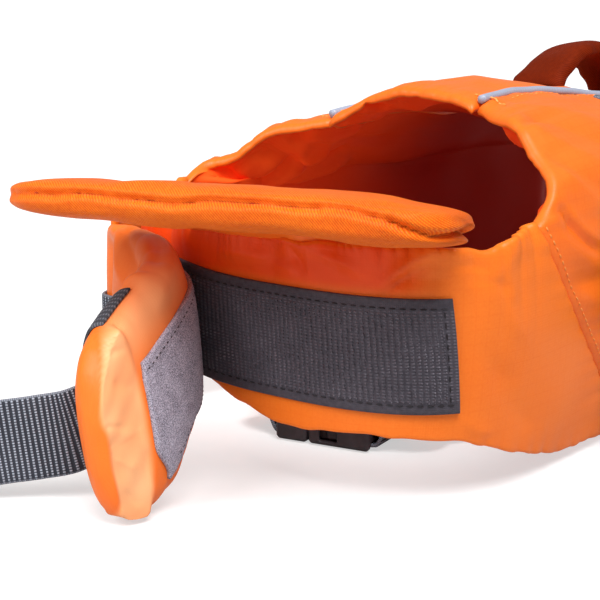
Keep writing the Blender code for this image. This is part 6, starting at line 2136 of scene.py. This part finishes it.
# %% [markdown]
# ## Stitches
# A seam shows as a row of short threads.  A geometry tree sets one thread at every pitch along a seam's
# line, turned along it and lying on the cloth; another one sets the hooks of the hook tape on a grid.

# %% Stitch tree and hook tree
def bead_node(tree, segments, rings, given):
    """A small ball drawn out to the length and radius given to the tree, in millimetres."""
    ball = tree.nodes.new("GeometryNodeMeshUVSphere")
    ball.inputs["Segments"].default_value = segments
    ball.inputs["Rings"].default_value = rings
    ball.inputs["Radius"].default_value = 0.5
    sizes = tree.nodes.new("ShaderNodeCombineXYZ")
    wire(tree, times(tree, given.outputs["Length"], MM), sizes.inputs[0])
    across = times(tree, given.outputs["Radius"], 2 * MM)
    wire(tree, across, sizes.inputs[1])
    wire(tree, across, sizes.inputs[2])
    drawn = tree.nodes.new("GeometryNodeTransform")
    wire(tree, ball.outputs[0], drawn.inputs["Geometry"])
    wire(tree, sizes.outputs[0], drawn.inputs["Scale"])
    return drawn.outputs[0]


def copies_on(tree, points, bead, rotation, scale=1.0):
    """Copies of a bead set on points."""
    copies = tree.nodes.new("GeometryNodeInstanceOnPoints")
    wire(tree, points, copies.inputs["Points"])
    wire(tree, bead, copies.inputs["Instance"])
    wire(tree, rotation, copies.inputs["Rotation"])
    if scale != 1.0:
        wire(tree, scale, copies.inputs["Scale"])
    return copies.outputs[0]


def turn_node(tree, primary, secondary):
    """Rotation with its X axis along one direction and its Z axis near another."""
    turn = tree.nodes.new("FunctionNodeAxesToRotation")
    turn.primary_axis = "X"
    turn.secondary_axis = "Z"
    wire(tree, primary, turn.inputs[0])
    wire(tree, secondary, turn.inputs[1])
    return turn.outputs[0]


def stitch_tree():
    """Geometry tree: one thread at every pitch along a seam."""
    tree, given, out = new_geometry_tree("stitch_row", "Seam", {"Pitch": 3.0, "Length": 2.2, "Radius": 0.28})
    course = tree.nodes.new("GeometryNodeMeshToCurve")
    wire(tree, given.outputs["Seam"], course.inputs[0])
    spaced = tree.nodes.new("GeometryNodeResampleCurve")
    spaced.mode = "LENGTH"
    wire(tree, course.outputs[0], spaced.inputs["Curve"])
    wire(tree, times(tree, given.outputs["Pitch"], MM), spaced.inputs["Length"])
    tangent = tree.nodes.new("GeometryNodeInputTangent")
    lying = turn_node(tree, tangent.outputs[0], kept_value(tree, "facing", "FLOAT_VECTOR"))
    threads = copies_on(tree, spaced.outputs[0], bead_node(tree, 7, 5, given), lying)
    make_real(tree, threads, given, out, rounded=True)
    return tree


def chance(tree, kind, seed, low, high):
    """A random value on every point."""
    node = tree.nodes.new("FunctionNodeRandomValue")
    node.data_type = kind
    first = 0 if kind == "FLOAT_VECTOR" else 2
    node.inputs[first].default_value = low
    node.inputs[first + 1].default_value = high
    node.inputs["Seed"].default_value = seed
    return node.outputs[first // 2]


def hook_tree():
    """Geometry tree: one hook on every point of a grid, each a little different."""
    tree, given, out = new_geometry_tree("hook_field", "Field", {"Length": 0.9, "Radius": 0.26})
    leaning = tree.nodes.new("ShaderNodeVectorMath")
    leaning.operation = "ADD"
    wire(tree, kept_value(tree, "facing", "FLOAT_VECTOR"), leaning.inputs[0])
    wire(tree, chance(tree, "FLOAT_VECTOR", 5, (-0.5,) * 3, (0.5,) * 3), leaning.inputs[1])
    upright = turn_node(tree, leaning.outputs[0], (0.0, 0.0, 1.0))
    field = copies_on(tree, given.outputs["Field"], bead_node(tree, 6, 4, given), upright,
                      chance(tree, "FLOAT", 9, 0.7, 1.25))
    make_real(tree, field, given, out, rounded=True)
    return tree


STITCH_ROW = stitch_tree()
HOOK_FIELD = hook_tree()


def marks(name, places, facing, edges, tree, settings):
    """A piece made by a geometry tree from points that know which way the cloth faces."""
    mesh = bpy.data.meshes.new(name)
    mesh.from_pydata(to_metres(places).tolist(), edges, [])
    keep_on_points(mesh, "facing", facing)
    piece = run_tree(new_object(mesh), tree, settings)
    take_place(piece, [])


def stitches(name, rows, thread, pitch, length, radius):
    """Rows of stitches; each row gives its points and the way the cloth faces there."""
    places = np.vstack([row[0] for row in rows])
    facing = np.vstack([row[1] for row in rows])
    edges = []
    start = 0
    for row in rows:
        count = len(row[0])
        edges += [(start + k, start + k + 1) for k in range(count - 1)]
        start += count
    marks(name, places, facing, edges, STITCH_ROW,
          {"Pitch": pitch, "Length": length, "Radius": radius, "Finish": thread})


# %% Hooks and stitches of the hook strip
BOTH_SIDES = ((1, "left"), (-1, "right"))
NEARBY = np.array((-0.5, 0.0, 0.5))


def hook_row(along, across, lift):
    """Points and directions over the hook strip."""
    along = np.atleast_1d(np.asarray(along, dtype=float)) + 0 * np.atleast_1d(across)
    across = np.atleast_1d(np.asarray(across, dtype=float)) + 0 * along
    places = np.empty((len(along), 3))
    facing = np.empty((len(along), 3))
    for k in range(len(along)):
        patch = hook_face(*np.meshgrid(along[k] + NEARBY, across[k] + NEARBY), TAPE_GAP + HOOK_THICK + lift)
        places[k] = patch[1, 1]
        facing[k] = grid_normals(patch, BODY_MIDDLE)[1, 1]
    return places, facing


HOOK_COLUMN = 2.0
HOOK_STEP = 1.15
HOOK_MARGIN = 4.2
HOOK_SCATTER = 0.22
HALF_TAPE = 19.6
VISIBLE_HOOKS = 112.0


def hooks():
    """Hooks of the hook strip, in columns."""
    draw = np.random.default_rng(17)
    columns = np.arange(HOOK_MARGIN, VISIBLE_HOOKS, HOOK_COLUMN)
    steps = np.arange(-HALF_TAPE + HOOK_MARGIN, HALF_TAPE - HOOK_MARGIN + 0.1, HOOK_STEP)
    along, across = np.meshgrid(columns, steps, indexing="ij")
    along = along.ravel() + draw.uniform(-HOOK_SCATTER, HOOK_SCATTER, along.size)
    across = across.ravel() + draw.uniform(-HOOK_SCATTER, HOOK_SCATTER, across.size)
    places, facing = hook_row(along, across, 0.25)
    marks("hook_strip_hooks", places, facing, [], HOOK_FIELD,
          {"Length": 0.95, "Radius": 0.27, "Finish": HOOKS})


hooks()

HOOK_SEAM_INSET = 3.0
HOOK_SEAM_END = 116.0
TOP_SEAM = HOOK_TOP - HOOK_MIDDLE - HOOK_SEAM_INSET
stitches("hook_strip_stitches", [
    hook_row(np.linspace(HOOK_SEAM_INSET, HOOK_SEAM_END, 90), np.full(90, TOP_SEAM), 0.05),
    hook_row(np.linspace(HOOK_SEAM_INSET, HOOK_SEAM_END, 90), np.full(90, -TOP_SEAM), 0.05),
    hook_row(np.full(24, HOOK_SEAM_INSET), np.linspace(-TOP_SEAM + 2.0, TOP_SEAM - 2.0, 24), 0.05),
], DARK_THREAD, pitch=3.4, length=2.5, radius=0.34)

# %% Stitches of the loop patch
def flap_row(run, tall, lift):
    """Points and directions on the flap's inner face."""
    run = np.asarray(run, dtype=float)
    tall = np.asarray(tall, dtype=float)
    angle = inner_face_angle(run, tall)
    low = flap_surface(run, angle, lift + 0 * run)
    high = flap_surface(run, angle, lift + 1.0 + 0 * run)
    return low, unit(high - low)


PATCH_LIFT = TAPE_GAP + LOOP_THICK
UPPER_ROW = np.linspace(30.0, 89.0, 70)
stitches("loop_patch_stitches", [
    flap_row(UPPER_ROW, np.full(70, LOOP_TOP - 2.4), PATCH_LIFT - 0.05),
    flap_row(np.linspace(40.0, 80.0, 60), np.linspace(-16.6, -19.5, 60), PATCH_LIFT - 0.05),
], DARK_THREAD, pitch=2.6, length=1.5, radius=0.24)
stitches("loop_patch_stitch_ends", [
    flap_row(UPPER_ROW + 1.3, np.full(70, LOOP_TOP - 2.4), PATCH_LIFT - 0.02),
], GREY_THREAD, pitch=2.6, length=0.9, radius=0.20)

# %% Chest seams, band hem and rim stitches
def side_row(side, stations, girths, lift):
    """Points and directions over a side panel's outer face."""
    places = []
    facing = []
    for station, girth in zip(stations, girths):
        row = panel_route(side, (girth,), station, lift)[0]
        low = panel_route(side, (girth,), station, lift + 1.0)[0]
        places.append(row[:3])
        facing.append(unit(low[:3] - row[:3]))
    return np.array(places), np.array(facing)


CHEST_STITCH_SETBACK = 3.0
for panel_side, panel_name in BOTH_SIDES:
    seam_girths = np.linspace(104.5, 194.0, 90)
    seam_stations = side_front_station(seam_girths) + CHEST_STITCH_SETBACK
    stitches("chest_seam_stitches_" + panel_name,
             [side_row(panel_side, seam_stations, seam_girths, 0.12)], PALE_THREAD,
             pitch=2.9, length=1.9, radius=0.30)

HEM_SETBACK = 6.0
SEAM_SETBACK = 3.2
for panel_side, panel_name in BOTH_SIDES:
    hem_girths = np.linspace(46.0, 188.0, 70)
    hem_stations = REAR_EDGE.at("station", hem_girths) - HEM_SETBACK
    shares = np.linspace(0.05, 0.97, 110)
    beside_girths = PIPING_LINE.at("girth", shares) + PIPING_ROOM + SEAM_SETBACK
    beside_stations = 4.0 + shares * (REAR_STATION - 12.0)
    stitches("side_hem_stitches_" + panel_name,
             [side_row(panel_side, hem_stations, hem_girths, 0.1),
              side_row(panel_side, beside_stations, beside_girths, 0.1)], PALE_THREAD,
             pitch=3.4, length=2.1, radius=0.28)

TACK_STATION = 3.0
for panel_side, panel_name in BOTH_SIDES:
    tape_girth = float(PIPING_LINE.at("girth", 0.0))
    tack_girths = np.linspace(tape_girth - 5.5, tape_girth + 7.5, 30)
    tack_rise = 0.4 + 3.3 * hump(tack_girths, tape_girth, 2.4)
    tack_places, tack_facing = side_row(panel_side, np.full(30, TACK_STATION), tack_girths, 0.0)
    stitches("piping_tack_" + panel_name, [(tack_places + tack_facing * tack_rise[:, None], tack_facing)],
             PALE_THREAD, pitch=1.7, length=2.0, radius=0.42)

# %% Chin pad seam stitches
PAD_FORWARD = pad_axes()[1]
stitches("chin_pad_stitches", [(PAD_SEAM_LINE, np.tile(PAD_FORWARD, (len(PAD_SEAM_LINE), 1)))],
         ORANGE_THREAD, pitch=2.2, length=1.9, radius=0.30)
